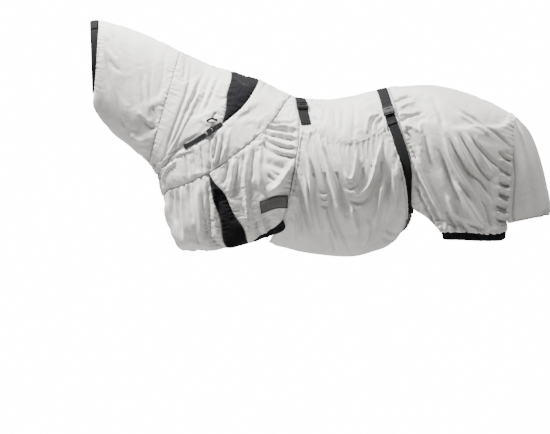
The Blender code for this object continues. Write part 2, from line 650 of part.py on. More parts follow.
def buckled_strap(name, points, buckle_at, width, closed):
    """Upper strap, buckle and lower strap along one route."""
    route = Route(points, closed)
    buckle = Buckle(name + "_buckle", width)
    centre = route.length * buckle_at
    up, down = buckle.span()
    matrix = route.frame(centre, BUCKLE_LIFT)
    buckle.socket(matrix)
    buckle.plug(matrix)
    under_socket = BUCKLE_BAR + WEBBING_SLOT
    strap(name + "_strap_upper", route, 0, centre - up + under_socket, width, "black_webbing")
    strap(name + "_strap_lower", route, centre + down + BUTT_GAP, route.length, width,
          "black_webbing")
    return route


def neck_loop():
    """Grab loop over the neck closure, standing off the panel in an arch."""
    route = Route(NECK_LOOP, False)
    strap("neck_strap_loop", route, 0, route.length, LOOP_WIDTH, "black_webbing",
          lambda t: LOOP_RISE * math.sin(math.pi * t))


def main():
    for obj in list(bpy.data.objects):
        bpy.data.objects.remove(obj)
    cut_all_panels()
    poll_band()
    belly_flap()
    tail_flap()
    label_patch()
    buckled_strap("front", FRONT_STRAP, FRONT_BUCKLE_AT, STRAP_WIDTH, True)
    rear = buckled_strap("rear", REAR_STRAP, REAR_BUCKLE_AT, STRAP_WIDTH, True)
    strap_slider("rear_strap_slider", rear, rear.length * REAR_SLIDER_AT)
    buckled_strap("neck", NECK_STRAP, NECK_BUCKLE_AT, NECK_STRAP_WIDTH, False)
    neck_loop()


main()
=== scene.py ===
"""Looks of a full-body fly sheet for a horse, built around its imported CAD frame.

Metres, +Z up.  The head end points along -X, the tail along +X, and the near side, which
has the buckles, faces -Y.  The origin is on the spine line at the withers.

The sheet is a skin over one lofted body form.  A place on it is (s, v): s counts the
section lines from the poll (0) to the dock (27), and v runs down one side from the spine
line (0) to the belly line (1).  The cloth is cut in that flat layout, draped on the form,
folded, relaxed as cloth and gathered along its seams.
"""
import logging
import math
from collections.abc import Callable
from dataclasses import dataclass
from enum import Enum

import bpy
import numpy as np
from mathutils import Matrix, Vector
from mathutils.geometry import delaunay_2d_cdt
from mathutils.kdtree import KDTree


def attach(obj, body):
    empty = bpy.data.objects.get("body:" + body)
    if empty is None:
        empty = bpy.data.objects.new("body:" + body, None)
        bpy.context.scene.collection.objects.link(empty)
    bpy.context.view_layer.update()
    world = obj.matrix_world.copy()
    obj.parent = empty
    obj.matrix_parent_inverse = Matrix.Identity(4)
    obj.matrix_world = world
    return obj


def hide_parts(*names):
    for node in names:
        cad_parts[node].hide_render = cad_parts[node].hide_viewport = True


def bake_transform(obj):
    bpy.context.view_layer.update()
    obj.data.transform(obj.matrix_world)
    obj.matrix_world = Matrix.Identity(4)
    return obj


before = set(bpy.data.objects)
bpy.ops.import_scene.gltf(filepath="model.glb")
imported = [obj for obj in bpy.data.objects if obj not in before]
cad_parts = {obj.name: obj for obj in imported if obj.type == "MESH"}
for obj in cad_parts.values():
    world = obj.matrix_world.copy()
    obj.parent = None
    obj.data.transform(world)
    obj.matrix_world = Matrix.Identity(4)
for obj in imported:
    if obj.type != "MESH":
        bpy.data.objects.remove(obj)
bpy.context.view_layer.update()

log = logging.getLogger("fly_sheet")
Array = np.ndarray
Piece = bpy.types.Object

# ---------------------------------------------------------------- sizes, in metres
BACK_LENGTH = 1.23          # withers to dock
NECK_REACH = 0.78           # withers forward to the front edge of the poll band
GIRTH_DEPTH = 0.80          # withers down to the lowest hem
BARREL_HALF_WIDTH = 0.305   # spine line out to the widest place of the barrel
CLOTH_WALL = 0.0010
FLAP_LIFT = 0.0105          # belly flap above the panels it lies on
FLAP_SEAM_DEPTH = 0.36      # withers down to where the flap is sewn on, on the off side
STRAP_WIDTH = 0.048
NECK_STRAP_WIDTH = 0.022
WEBBING = 0.0016
STRAP_LIFT = 0.0036         # underside of the webbing above the form
BUCKLE_LIFT = 0.0056
BUCKLE_HEIGHT = 0.010
TAIL_FLAP_GAP = 0.006
LABEL_LENGTH, LABEL_HEIGHT = 0.146, 0.056
LAST = 27                   # the dock's section line

# Each section line: its top and bottom on the centre plane as (x, z), its half width, the
# height share of its widest place, the roundness of its upper and lower arcs, and how far
# open it is underneath.  x is a share of NECK_REACH in front of the withers and of
# BACK_LENGTH behind them; z of GIRTH_DEPTH; width of BARREL_HALF_WIDTH.
SECTIONS = [
    ((-1.000, .344), (-.985, -.071), .33, .56, 1.00, 1.00, .00),
    ((-.949, .350), (-.976, -.082), .34, .56, 1.00, 1.00, .00),
    ((-.844, .329), (-.976, -.164), .36, .58, 1.02, 1.00, .00),
    ((-.699, .282), (-.880, -.294), .39, .60, 1.05, 1.00, .00),
    ((-.566, .223), (-.753, -.397), .42, .60, 1.10, 1.00, .00),
    ((-.457, .170), (-.651, -.488), .47, .60, 1.12, 1.00, .00),
    ((-.289, .094), (-.609, -.540), .54, .60, 1.18, 1.00, .00),
    ((-.157, .053), (-.588, -.582), .62, .60, 1.20, 1.00, .00),
    ((-.066, .026), (-.566, -.664), .70, .60, 1.20, 1.00, .00),
    ((.008, .006), (-.539, -.764), .75, .59, 1.20, .95, .00),
    ((.046, -.021), (-.506, -.869), .80, .58, 1.18, .85, .00),
    ((.080, -.047), (-.458, -.987), .85, .57, 1.15, .75, .10),
    ((.111, -.071), (-.319, -.999), .88, .56, 1.12, .80, .62),
    ((.130, -.085), (-.169, -.987), .90, .56, 1.10, .90, .84),
    ((.149, -.097), (-.036, -.958), .93, .56, 1.08, 1.00, .72),
    ((.168, -.106), (.061, -.934), .96, .56, 1.06, 1.00, .38),
    ((.225, -.113), (.168, -.969), .98, .56, 1.05, 1.00, .12),
    ((.302, -.109), (.283, -.993), 1.00, .56, 1.04, 1.00, .00),
    ((.378, -.088), (.378, -.996), 1.00, .56, 1.02, 1.00, .00),
    ((.466, -.056), (.474, -.958), .98, .55, 1.00, 1.00, .15),
    ((.531, -.038), (.558, -.917), .97, .52, .98, 1.00, .55),
    ((.596, -.031), (.634, -.934), .96, .48, .96, 1.00, .82),
    ((.665, -.029), (.715, -.949), .95, .46, .95, 1.00, .86),
    ((.741, -.047), (.799, -.955), .92, .46, .95, 1.00, .86),
    ((.818, -.082), (.875, -.955), .86, .46, .95, 1.00, .84),
    ((.887, -.123), (.929, -.952), .74, .47, .98, 1.00, .82),
    ((.940, -.162), (.948, -.940), .62, .50, 1.00, 1.00, .80),
    ((.990, -.206), (.967, -.922), .48, .52, 1.00, 1.00, .80),
]

# Seams, as places (s, v)
SEAMS = {
    "poll_edge": [(1, 0), (1, 1)],
    "spine": [(1, 0), (LAST, 0)],
    "underline": [(1, 1), (14, 1)],
    "neck_seam": [(5, 0), (5, 1)],
    "collar_upper": [(7.0, 0), (7.6, .225), (8.35, .32), (8.7, .375)],
    "collar_lower": [(8.7, .375), (8.3, .425), (7.95, .465), (7.6, .52), (7.1, .605),
                     (6.8, .715), (6.55, .915), (6.5, 1)],
    "gusset_rear": [(9.05, 0), (9.3, .195), (9.25, .27), (9.0, .325), (8.7, .375)],
    "yoke_upper": [(13.55, 0), (12.7, .15), (12.35, .24), (11.8, .315), (11.3, .375),
                   (10.9, .415), (10.4, .475), (10.0, .53)],
    "yoke_lower": [(10.0, .53), (9.45, .605), (8.8, .71), (8.25, .825), (8.2, 1)],
    "shoulder_gusset_front": [(10.0, .53), (10.8, .56), (11.6, .63), (12.3, .735),
                              (12.85, .91), (12.95, 1)],
    "shoulder_gusset_rear": [(10.0, .53), (11.35, .545), (12.75, .68), (13.55, .795), (14.0, 1)],
    "girth_upper": [(13.95, 0), (15.05, .18), (15.3, .265), (15.42, .36), (15.42, .455)],
    "girth_lower": [(15.42, .455), (15.4, .54), (15.38, .61), (15.35, .66), (15.3, .735)],
    "shoulder_hem": [(14.0, 1), (14.25, .91), (14.65, .855), (15.0, .81), (15.3, .735)],
    "elbow_hem": [(14.0, 1), (14.55, .955), (15.1, .88), (15.42, .80), (15.3, .735)],
    "back_hem": [(15.38, .61), (15.75, .53), (16.3, .465), (19.6, .46), (20.15, .49),
                 (20.66, .54)],
    "hind_front_upper": [(19.55, 0), (19.72, .12), (20.0, .235), (20.2, .335), (20.45, .41),
                         (20.58, .455)],
    "hind_front_lower": [(20.58, .455), (20.66, .54), (20.64, .60), (20.58, .665), (20.64, .715),
                         (21.3, .76), (21.95, .845)],
    "hind_hem": [(21.95, .845), (23.05, .84), (24.05, .845), (25.3, .84), (26.45, .84)],
    "hind_band_front": [(21.95, .845), (22.0, .93)],
    "hind_band_hem": [(22.0, .93), (23.0, .93), (24.0, .94), (25.3, .945), (26.42, .945)],
    "hind_band_rear": [(26.45, .84), (26.42, .945)],
    "hind_rear": [(27.0, 0), (27.0, .225), (27.0, .35), (26.95, .475), (26.85, .595),
                  (26.7, .715), (26.45, .84)],
}
# Belly flap: its top edge, and its front and rear edges down to the belly line
FLAP_TOP = [(15.52, .25), (15.85, .255), (16.3, .285), (16.9, .32), (17.55, .34), (18.15, .345),
            (18.6, .34), (19.1, .315), (19.40, .31)]
FLAP_FRONT = [(15.47, .25), (15.45, .36), (15.44, .52), (15.38, .60), (15.30, .66), (15.18, .72),
              (15.06, .79), (14.96, .88), (14.88, 1)]
FLAP_REAR = [(19.40, .31), (19.54, .355), (19.79, .405), (20.15, .51), (20.32, .59), (20.38, .66),
             (20.35, .735), (20.15, .815), (19.9, .875), (19.5, 1)]
# Centre lines of the webbing, from the spine line down
FRONT_STRAP = [(14.98, .03), (15.22, .12), (15.4, .185), (15.55, .225), (15.68, .262)]
REAR_STRAP = [(19.17, .035), (19.33, .14), (19.53, .235), (19.7, .30), (19.85, .34),
              (20.1, .41), (20.3, .48), (20.4, .56), (20.44, .64), (20.42, .70), (20.38, .74)]
NECK_STRAP = [(8.68, .372), (8.4, .41), (8.05, .455), (7.65, .505), (7.35, .56)]
NECK_LOOP = [(8.25, .373), (8.0, .379), (7.78, .39), (7.62, .408)]
FRONT_BUCKLE_AT = 0.50      # share of the strap's points where the buckle's centre lies
REAR_BUCKLE_AT = 0.29
REAR_SLIDER_AT = 0.382
NECK_BUCKLE_AT = 0.33
LABEL_CORNERS = [(13.78, .610), (15.33, .592), (15.40, .66), (14.13, .688)]

# Tail flap: rows from the dock down, as (x, z) of its centre line and of its free edge, in
# metres behind and below the dock, and its half width there.
TAIL_ROWS = [
    ((-0.002, -0.004), (-0.016, -0.030), 0.058),
    ((0.045, -0.060), (-0.034, -0.105), 0.092),
    ((0.080, -0.126), (-0.036, -0.190), 0.114),
    ((0.112, -0.220), (-0.030, -0.295), 0.126),
    ((0.133, -0.305), (-0.040, -0.395), 0.131),
    ((0.157, -0.425), (-0.050, -0.470), 0.131),
    ((0.152, -0.470), (-0.040, -0.510), 0.129),
]


class Fold:
    """A ridge, or a valley where the height is negative, along a line seen from the side."""

    def __init__(self, height: float, width: float, *line: float) -> None:
        """Keeps a fold.

        Args:
            height: how far it stands out, in millimetres.
            width: from its top to its foot, in millimetres.
            line: x, z, x, z and so on of its points, in centimetres.
        """
        self.height, self.width = height / 1000, width / 1000
        self.line = np.array(line).reshape(-1, 2) / 100


@dataclass(frozen=True)
class Gather:
    """Puckers where one panel is drawn up along one seam.

    height, pitch and reach, in millimetres: how high, how far apart and how long they are.
    """
    seam: str
    panel: str
    height: float
    pitch: float
    reach: float


@dataclass(frozen=True)
class Panel:
    """One cut panel of one side.

    seed is a place (s, v) that it holds, flat its width and length before gathering in
    metres and area its flat area, neither of which is used, and sewn_to the piece or panel that it
    hangs from.
    """
    seed: tuple
    slot: str
    flat: tuple
    area: float
    held: str
    sewn_to: str


class Side(Enum):
    """The two halves of the sheet, by the names that the CAD nodes end with."""
    NEAR = "left"
    OFF = "right"


# Each panel is the region of the cut cloth that holds its seed.
PANELS = {
    "neck_panel": Panel((3.0, .5), "silver_cloth", (.42, .78), .235, "draped",
                        "poll_band_elastic"),
    "neck_rear_panel": Panel((6.0, .4), "silver_cloth", (.34, .66), .155, "draped", "neck_panel"),
    "withers_gusset": Panel((8.3, .15), "black_mesh", (.18, .34), .032, "stretched",
                            "neck_rear_panel"),
    "yoke": Panel((10.2, .25), "silver_cloth", (.30, .92), .148, "draped", "withers_gusset"),
    "chest_panel": Panel((10.5, .8), "silver_cloth", (.38, .42), .132, "gathered", "yoke"),
    "shoulder_gusset": Panel((12.9, .8), "black_mesh", (.11, .42), .026, "stretched",
                             "chest_panel"),
    "shoulder_panel": Panel((13.6, .4), "silver_cloth", (.40, .76), .180, "gathered", "yoke"),
    "girth_gusset": Panel((14.9, .865), "black_mesh", (.08, .19), .009, "stretched",
                          "shoulder_panel"),
    "back_panel": Panel((17.5, .25), "silver_cloth", (.44, .62), .250, "draped",
                        "shoulder_panel"),
    "hindquarter": Panel((23.5, .5), "silver_cloth", (.72, .80), .450, "draped", "back_panel"),
    "hind_hem_band": Panel((24.0, .89), "black_elastic", (.045, .34), .0145, "stretched",
                           "hindquarter"),
}
GATHERS = [
    Gather("poll_edge", "neck_panel", 2.2, 15, 24),
    Gather("neck_seam", "neck_panel", 1.6, 21, 22),
    Gather("neck_seam", "neck_rear_panel", 1.8, 19, 24),
    Gather("collar_upper", "neck_rear_panel", 3.2, 15, 22),
    Gather("gusset_rear", "yoke", 1.2, 18, 16),
    Gather("collar_lower", "neck_rear_panel", 2.2, 17, 26),
    Gather("collar_lower", "yoke", 3.6, 17, 60),
    Gather("yoke_lower", "yoke", 2.6, 17, 36), Gather("yoke_lower", "chest_panel", 2.8, 19, 42),
    Gather("yoke_upper", "yoke", 1.0, 20, 14), Gather("yoke_upper", "shoulder_panel", 1.8, 21, 30),
    Gather("shoulder_gusset_front", "chest_panel", 2.8, 13, 15),
    Gather("shoulder_gusset_rear", "shoulder_panel", 3.2, 14, 24),
    Gather("shoulder_gusset_front", "shoulder_gusset", 1.8, 12, 16),
    Gather("shoulder_gusset_rear", "shoulder_gusset", 1.8, 12, 16),
    Gather("girth_upper", "shoulder_panel", 2.0, 16, 30),
    Gather("girth_lower", "shoulder_panel", 4.2, 14, 34),
    Gather("shoulder_hem", "shoulder_panel", 3.6, 15, 22),
    Gather("shoulder_hem", "girth_gusset", 1.8, 12, 16),
    Gather("hind_hem", "hindquarter", 6.5, 26, 32),
    Gather("hind_hem", "hind_hem_band", 1.2, 9, 60),
    Gather("hind_band_hem", "hind_hem_band", 1.2, 9, 60),
    Gather("hind_front_upper", "hindquarter", 3.4, 19, 30),
    Gather("hind_front_lower", "hindquarter", 3.2, 19, 34),
    Gather("hind_rear", "hindquarter", 4.2, 21, 46),
    Gather("underline", "chest_panel", 4.0, 19, 26),
]
# Seams with no stitched groove on the outside: cut edges, hems and the mirrored centre lines
PLAIN_EDGES = {"spine", "underline", "hind_rear", "hind_band_hem", "hind_band_rear",
               "hind_band_front", "back_hem"}
FOLD_RELIEF = 2.9           # draws every fold this much deeper than its own height
GATHER_RELIEF = 2.6         # and every gather
PITCH_STRETCH = 1.2         # gathers stand this much further apart than their own pitch
NECK_RELIEF = 0.55             # the neck cover is cut close, so its folds are shallower
STRAP_PRESS = 0.034         # how far from a strap's centre line it holds the cloth down
PATTERN_STEP = 0.0125       # spacing of the points in the cut cloth before they are refined
SEAM_POINT_STEP = 0.010
SEAM_SIDE = 0.006           # a row of points runs this far each side of every seam
SEAM_SIDE_CLEAR = 0.0052    # and stays this far from other seams
LATTICE_CLEAR = 0.0115

# Folds of the near side, from the poll to the dock
NECK_FOLDS = [Fold(*row) for row in (
    (7, 14, -73.8, 18.3, -71.4, 8.9, -69.1, -0.5, -67.2, -9.9, -64.9, -17, -62, -24, -59.7, -30.1),
    (-7, 11, -71.4, 14.5, -70, 7.9, -68.6, 1.8, -65.8, -7.6, -63.4, -15.6,
     -60.6, -21.7, -58.8, -27.8),
    (-3, 8, -70.5, 20.1, -67.7, 13.6, -64.9, 8.9),
    (-2.5, 8, -67.2, 21.6, -64.9, 15.4, -63, 11.7),
    (-3, 9, -69.6, 9.8, -66.7, 6, -63.4, 3.2),
    (3, 7, -73.8, 23, -75.2, 8.9, -76.1, -6.2),
    (-4, 7, -48.9, -12.3, -47.5, -16.5, -46.5, -20.3),
    (-5, 7, -53.1, -18.4, -49.8, -22.6, -46.5, -23.6),
    (4, 11, -55.9, -14.6, -51.7, -18.9, -47.9, -20.7),
    (7, 13, -59.2, -25, -55.5, -28.3, -51.7, -29.7),
    (-6, 12, -55, -33.4, -50.3, -38.1, -46.5, -41.4),
    (-3, 9, -54, 3.2, -53.1, -7.6, -51.7, -17.4),
    (-2.5, 8, -49.3, 4.2, -49.8, -4.3, -49.3, -11.8),
    (2.5, 8, -51.7, 3.2, -51.2, -7.6, -50.3, -15.6),
    (-2, 13, -60.6, 12.6, -58.3, -0.5, -55.5, -11.8),
    (-2, 9, -42.8, 11.2, -43.7, 1.8, -46.1, -9.9),
    (-6, 7, -30.5, 1.8, -32.4, -5.2, -35.7, -14.6, -39, -24, -42.8, -35.8),
    (-6, 7, -23, 6, -26.3, -1.5, -29.6, -8, -33.4, -15.6, -37.6, -26.4, -43.7, -38.1),
    (5, 7, -27.7, 1.3, -32.4, -11.3, -36.2, -21.7, -40.9, -33.4),
    (5, 7, -24.9, -1.5, -30.1, -13.7, -33.8, -21.7, -39.9, -33.4, -44.6, -40),
    (-2.5, 6, -32.9, 8.9, -33.4, 3.2, -34.3, -2.4),
    (-2.5, 6, -29.6, 8.9, -30.5, 4.2, -31.5, -0.5),
    (-3.5, 7, -20.7, 3.2, -23.5, -5.2, -26.8, -13.7),
    (-3.5, 7, -16.4, 2.3, -20.2, -6.6, -24, -15.6),
    (3, 7, -18.8, 2.3, -22.1, -6.2, -25.4, -15.1),
    (-7, 5, -18.8, -15.6, -19.7, -17.4, -20.7, -19.3),
    (-4, 9, -26.3, -19.8, -24.4, -22.6, -24, -25.9),
    (-5, 7, -36.7, -33.4, -31, -28.7, -26.8, -26.9),
    (-3.5, 5, -46.1, -39.1, -40.4, -34.8, -34.8, -31.6),
)]
YOKE_FOLDS = [Fold(*row) for row in (
    (-4.5, 6, -21.6, -28.7, -21.1, -38.1, -21.6, -43.8),
    (-4.5, 6, -17.9, -26.4, -19.3, -33.4, -20.7, -39.1),
    (-4.5, 6, -14.6, -25, -16, -31.1, -18.3, -39.1, -20.2, -41.9),
    (4, 6, -19.7, -27.8, -20.2, -33.4, -21.1, -40.5),
    (4, 6, -16.4, -27.3, -17.9, -34.4, -19.7, -40.5),
    (3, 6, -12.2, -24, -14.1, -31.6, -16.9, -38.1),
    (4, 6, -45.1, -45.2, -42.3, -39.5, -38.1, -36.7, -32, -33.9),
    (4, 6, -43.7, -48, -41.4, -42.8, -36.7, -38.1),
    (-4, 5, -44.6, -42.8, -39.9, -38.1, -34.3, -35.3),
    (-3.5, 6, -25.8, -30.6, -24.9, -38.1, -24.4, -43.8),
    (-3.5, 6, -29.6, -33, -28.2, -40, -27.7, -44.7),
    (-3.5, 6, -33.4, -35.3, -32, -40.9, -31, -45.6),
    (-1.5, 12, -8.5, -19.3, -2.8, -15.6, 2.8, -12.3),
)]
SHOULDER_FOLDS = [Fold(*row) for row in (
    (-4.5, 6, 7, -20.7, 12.7, -20.5, 18.8, -20.7),
    (-4.5, 6, 5.2, -23.1, 11.3, -24, 19.3, -25.4),
    (-5, 6, 2.8, -25, 8.9, -26.9, 19.3, -29.2),
    (-5, 6, 2.8, -26.9, 8.9, -30.6, 18.8, -33.4),
    (-5, 6, 2.8, -29.2, 6.6, -33.4, 13.6, -36.2, 19.3, -37.7),
    (4, 6, 8.5, -22.1, 13.6, -22.4, 19.3, -23.1),
    (4, 6, 6.6, -24.7, 12.7, -25.9, 19.3, -27.3),
    (4, 6, 5.2, -27.8, 12.2, -30.1, 19.3, -31.6),
    (4, 6, 6.6, -31.6, 13.2, -34.4, 19.3, -35.8),
    (9, 16, 19.7, -38.1, 15, -43.8, 10.3, -49.9, 4.2, -54.6),
    (-5, 5, 5.6, -44.7, 7.5, -46.6, 9.4, -48.5),
    (-3.5, 5, 6.6, -42.4, 8.9, -44.2, 11.8, -45.6),
    (-5, 17, 4.7, -38.1, 9.4, -40.9, 14.6, -41.9),
    (-5, 8, -13.2, -39.1, -14.1, -45.2, -15.5, -49.9),
    (-5, 8, -8, -35.8, -8.9, -45.2, -11.3, -56),
    (-4.5, 7, -5.2, -33.4, -6.6, -43.8, -8, -54.6),
    (-5, 9, -0.9, -32.5, -1.4, -40.5, -1.9, -48.5),
    (5, 8, -10.3, -37.2, -11.3, -46.6, -13.2, -54.1),
    (5, 8, -3.8, -34.4, -4.7, -45.2, -4.7, -56.9, -3.8, -68.7, -2.8, -73.4),
    (4, 9, 1.9, -33.4, 1.9, -43.8, 2.8, -53.2),
    (-4, 6, -6.1, -59.3, -4.7, -65.4, -2.8, -71),
    (-4, 7, 0, -65.4, 0.9, -71, 2.8, -75.7),
    (-4, 8, 5.6, -64.4, 6.6, -70.1, 9.4, -74.8),
    (3.5, 7, 2.8, -64.9, 4.2, -71, 6.1, -75.7),
    (-4, 8, 14.6, -52.2, 13.2, -59.3, 11.8, -67.3),
)]
CHEST_FOLDS = [Fold(*row) for row in (
    (-5, 8, -39.5, -52.2, -39, -59.3, -37.1, -68.7),
    (-5.5, 8, -37.1, -51.3, -36.2, -61.6, -34.3, -75.7),
    (-5, 9, -32, -48.9, -31, -56.9, -29.1, -68.7),
    (-6, 7, -22.6, -45.2, -22.1, -56.9, -21.6, -68.7, -20.2, -75.7, -14.6, -79.5),
    (5, 8, -20.2, -49.9, -19.7, -59.3, -18.8, -68.7, -16.4, -75.7),
    (5, 8, -34.8, -50.4, -33.4, -62.6, -31.5, -75.7),
    (5, 11, -27.3, -47.5, -26.3, -59.3, -24.9, -74.8),
    (4, 9, -41.8, -56.9, -40.4, -67.3, -37.6, -75.7),
    (-3.5, 6, -25.4, -52.2, -24, -64, -23, -74.8),
    (-3, 6, -28.7, -67.3, -27.7, -73.4, -26.3, -78.5),
)]
HIND_FOLDS = [Fold(*row) for row in (
    (-5, 6, 67.2, -20.7, 71.4, -17.4, 74.7, -16.3, 78.5, -15.1),
    (-4.5, 6, 64.4, -11.3, 67.7, -9.5, 72.4, -8.3),
    (-5, 6, 68.6, -24.5, 72.4, -26.9, 75.2, -30.6, 76.1, -33.4),
    (-5, 6, 70, -28.7, 73.3, -33.4, 76.1, -38.1),
    (3.5, 7, 66.7, -13.7, 70.5, -11.8, 75.2, -10.4),
    (4, 7, 68.1, -22.6, 72.8, -22.6, 77.1, -25),
    (-6.5, 9, 71.9, -38.1, 76.1, -46.6, 80.8, -54.6, 85.1, -62.6, 87.9, -67.3),
    (-6, 7, 74.3, -47.5, 77.1, -54.1, 80.8, -61.6, 84.6, -69.1),
    (6, 8, 72.4, -34.4, 77.5, -43.8, 83.2, -56, 87.9, -63.5),
    (-6.5, 8, 86.5, -33.4, 89.3, -40.5, 91.2, -46.6, 93.5, -52.2, 97.3, -59.3),
    (-6.5, 8, 90.2, -26.4, 93.5, -32.5, 96.8, -38.1, 100.6, -43.8, 105.3, -47.5,
     108.6, -52.2, 110.9, -56.9),
    (-6, 8, 94.5, -23.1, 98.2, -29.7, 102, -35.8, 105.3, -41.9, 109, -46.1, 111.9, -49.9),
    (-6, 8, 100.6, -26.4, 104.3, -31.6, 108.1, -35.8, 111.4, -39.1, 114.7, -41.9),
    (6, 8, 87.9, -25.9, 90.2, -32.5, 92.6, -38.6, 96.8, -46.1, 102.9, -55.5),
    (9, 11, 92.6, -46.6, 96.8, -54.1, 100.6, -60.2, 104.8, -66.8, 108.1, -71),
    (5, 7, 92.6, -25.9, 96.8, -33.4, 100.6, -39.5, 105.8, -45.2),
    (5, 7, 98.2, -25.4, 102.9, -32.5, 108.1, -40.5, 112.3, -46.1),
    (-5, 6, 94.5, -12.7, 99.2, -15.6, 103.9, -18.4, 108.6, -22.6, 113.3, -25.9,
     117, -29.7, 119.8, -34.4),
    (3.5, 7, 94, -15.1, 99.6, -18.4, 105.3, -22.6, 110.9, -27.8),
    (-5, 6, 113.3, -33.9, 116.6, -36.7, 120.3, -39.1),
    (-5.5, 6, 113.3, -40.9, 116.6, -43.3, 120.3, -45.2),
    (-7, 6, 114.2, -47.5, 117, -49.4, 119.8, -50.4),
    (-7, 6, 113.7, -52.7, 116.6, -54.6, 119.4, -56),
    (-7, 6, 112.8, -58.8, 115.6, -60.2, 118.4, -61.6),
    (-6, 6, 112.8, -64.9, 115.6, -66.3, 118.4, -67.3),
    (5, 6, 113.7, -37.7, 117, -40, 120.3, -42.4),
    (5, 6, 113.7, -44.2, 117, -46.6, 119.8, -48),
    (6, 6, 113.7, -50.4, 116.6, -52.2, 119.4, -53.2),
    (6, 6, 113.3, -56, 116.1, -57.4, 118.4, -58.8),
    (6, 6, 112.8, -62.1, 115.6, -63.5, 118.4, -64.4),
    (-5, 5, 118, -38.1, 120.8, -38.6, 123.6, -38.1),
    (-5, 8, 93.5, -63, 96.8, -68.2, 100.6, -72.4),
    (-5, 8, 89.3, -60.2, 92.1, -66.3, 94.9, -72),
    (5, 9, 89.8, -53.6, 92.6, -61.2, 96.3, -67.3),
    (-3.5, 7, 80.8, -67.3, 83.7, -71, 87.4, -73.8),
    (-5, 8, 105.3, -55, 108.1, -60.7, 110, -69.1),
    (-2.5, 14, 79.4, -24, 80.8, -33.4, 82.7, -42.8),
    (-2, 14, 82.7, -6.2, 86.5, -14.6, 88.4, -23.1),
)]
SADDLE_FOLDS = [Fold(*row) for row in (
    (-2, 8, 37.1, -12.7, 37.1, -18.4, 37.6, -24),
    (-2, 8, 41.4, -13.2, 40.9, -19.3, 40.4, -25.9),
    (-4.5, 6, 54, -26.4, 55, -20.3, 58.8, -15.6),
    (-4, 5, 56.4, -25.9, 57.8, -21.2, 60.6, -16.5),
    (-2, 8, 32.4, -13.2, 32, -17.4, 31, -22.1),
    (3, 6, 51.7, -26.9, 52.6, -20.7, 55.5, -16),
    (-3, 6, 24, -15.6, 26.3, -17.9, 29.1, -20.7),
    (-1.5, 9, 47, -12.3, 46.5, -19.3, 45.6, -26.9),
)]
FLAP_FOLDS = [Fold(*row) for row in (
    (-5, 5, 37.1, -29.7, 37.6, -33.4, 38.1, -38.1),
    (-5.5, 5, 39.9, -29.7, 41.4, -37.2, 42.3, -40.9),
    (-5.5, 5, 44.2, -29.7, 45.1, -34.4, 45.6, -39.1),
    (-5, 5, 47.9, -28.7, 48.9, -33.4, 49.3, -37.2),
    (-5.5, 5, 53.1, -28.7, 53.6, -37.2, 55, -41.9),
    (-6.5, 6, 60.6, -27.8, 59.2, -34.4, 58.3, -40.9, 57.3, -50.4),
    (6, 6, 41.4, -41.9, 42.8, -46.1, 45.1, -46.1, 46.5, -40.5, 47, -33.4),
    (7, 7, 45.1, -52.7, 47.9, -53.2, 51.2, -51.3, 53.6, -47.5, 55.5, -41.9,
     57.8, -33.4, 59.2, -29.7),
    (-5, 8, 39.5, -45.2, 41.8, -50.4, 46.1, -50.4, 49.3, -46.1, 50.8, -38.1),
    (-6, 9, 44.2, -56.5, 48.4, -57.4, 53.1, -55, 56.4, -50.4, 58.8, -42.8),
    (-8, 6, 26.3, -21.7, 29.1, -31.1, 31.5, -40.5, 33.8, -49.9, 36.2, -59.3,
     39, -67.3, 41.4, -72.4, 44.2, -78.1),
    (-7, 6, 31, -26.4, 32.9, -33.4, 36.7, -40.5, 39.5, -48.5, 41.8, -56.9, 43.7, -64),
    (-8, 9, 40.4, -52.2, 41.8, -58.3, 42.8, -64.4),
    (7, 8, 44.2, -58.3, 45.6, -63.5, 47.5, -69.1),
    (6, 8, 28.7, -24, 31, -33.4, 34.3, -43.8, 36.7, -52.2, 39.5, -61.6),
    (-5.5, 6, 26.3, -24, 25.8, -33.4, 26.3, -40.5, 27.3, -46.6),
    (-6, 7, 20.2, -46.6, 22.6, -59.3, 25.4, -70.1),
    (5, 7, 23, -31.6, 24.4, -40.5, 25.4, -47.5, 26.3, -56.9),
    (6, 7, 22.6, -43.8, 24.4, -54.6, 26.8, -66.3, 28.2, -72),
    (5, 6, 19.7, -52.2, 20.7, -64, 22.1, -73.4),
    (-5, 7, 26.8, -50.4, 29.1, -59.8, 32, -70.1),
    (5, 8, 32, -59.3, 35.2, -67.3, 38.1, -73.8),
    (-2.5, 4, 29.6, -52.2, 31.5, -53.2, 33.4, -52.7),
    (-2.5, 4, 30.1, -55, 32, -56, 33.8, -55.5),
    (-2.5, 4, 30.5, -57.9, 32.4, -58.8, 34.3, -58.3),
    (8, 10, 58.8, -47.5, 57.8, -54.6, 55.5, -62.6, 53.6, -66.3),
    (-6, 9, 61.1, -43.8, 61.1, -54.6, 59.2, -63.5, 55.9, -70.6),
    (-5, 6, 60.2, -68.7, 63, -70.1, 66.3, -71),
    (-4, 6, 58.3, -72, 61.6, -73.4, 64.9, -73.8),
    (5, 9, 63.9, -40.5, 65.3, -52.2, 64.4, -61.6),
    (-4, 8, 67.2, -43.8, 68.1, -54.6, 66.7, -64),
    (-4, 9, 47.9, -59.3, 49.3, -66.3, 48.9, -73.8),
    (4, 9, 51.7, -63.5, 52.2, -69.1, 50.3, -75.7),
    (-4, 7, 34.8, -69.1, 36.2, -73.8, 37.6, -78.5),
    (-4, 6, 19.3, -59.8, 19.3, -67.3, 19.7, -74.8),
    (-4, 5, 34.8, -29.7, 35.2, -33.4, 36.2, -37.2),
    (-4, 5, 50.8, -29.2, 51.2, -33.4, 52.2, -38.1),
    (-4, 5, 56.4, -28.3, 56.4, -33.4, 55.9, -39.1),
)]


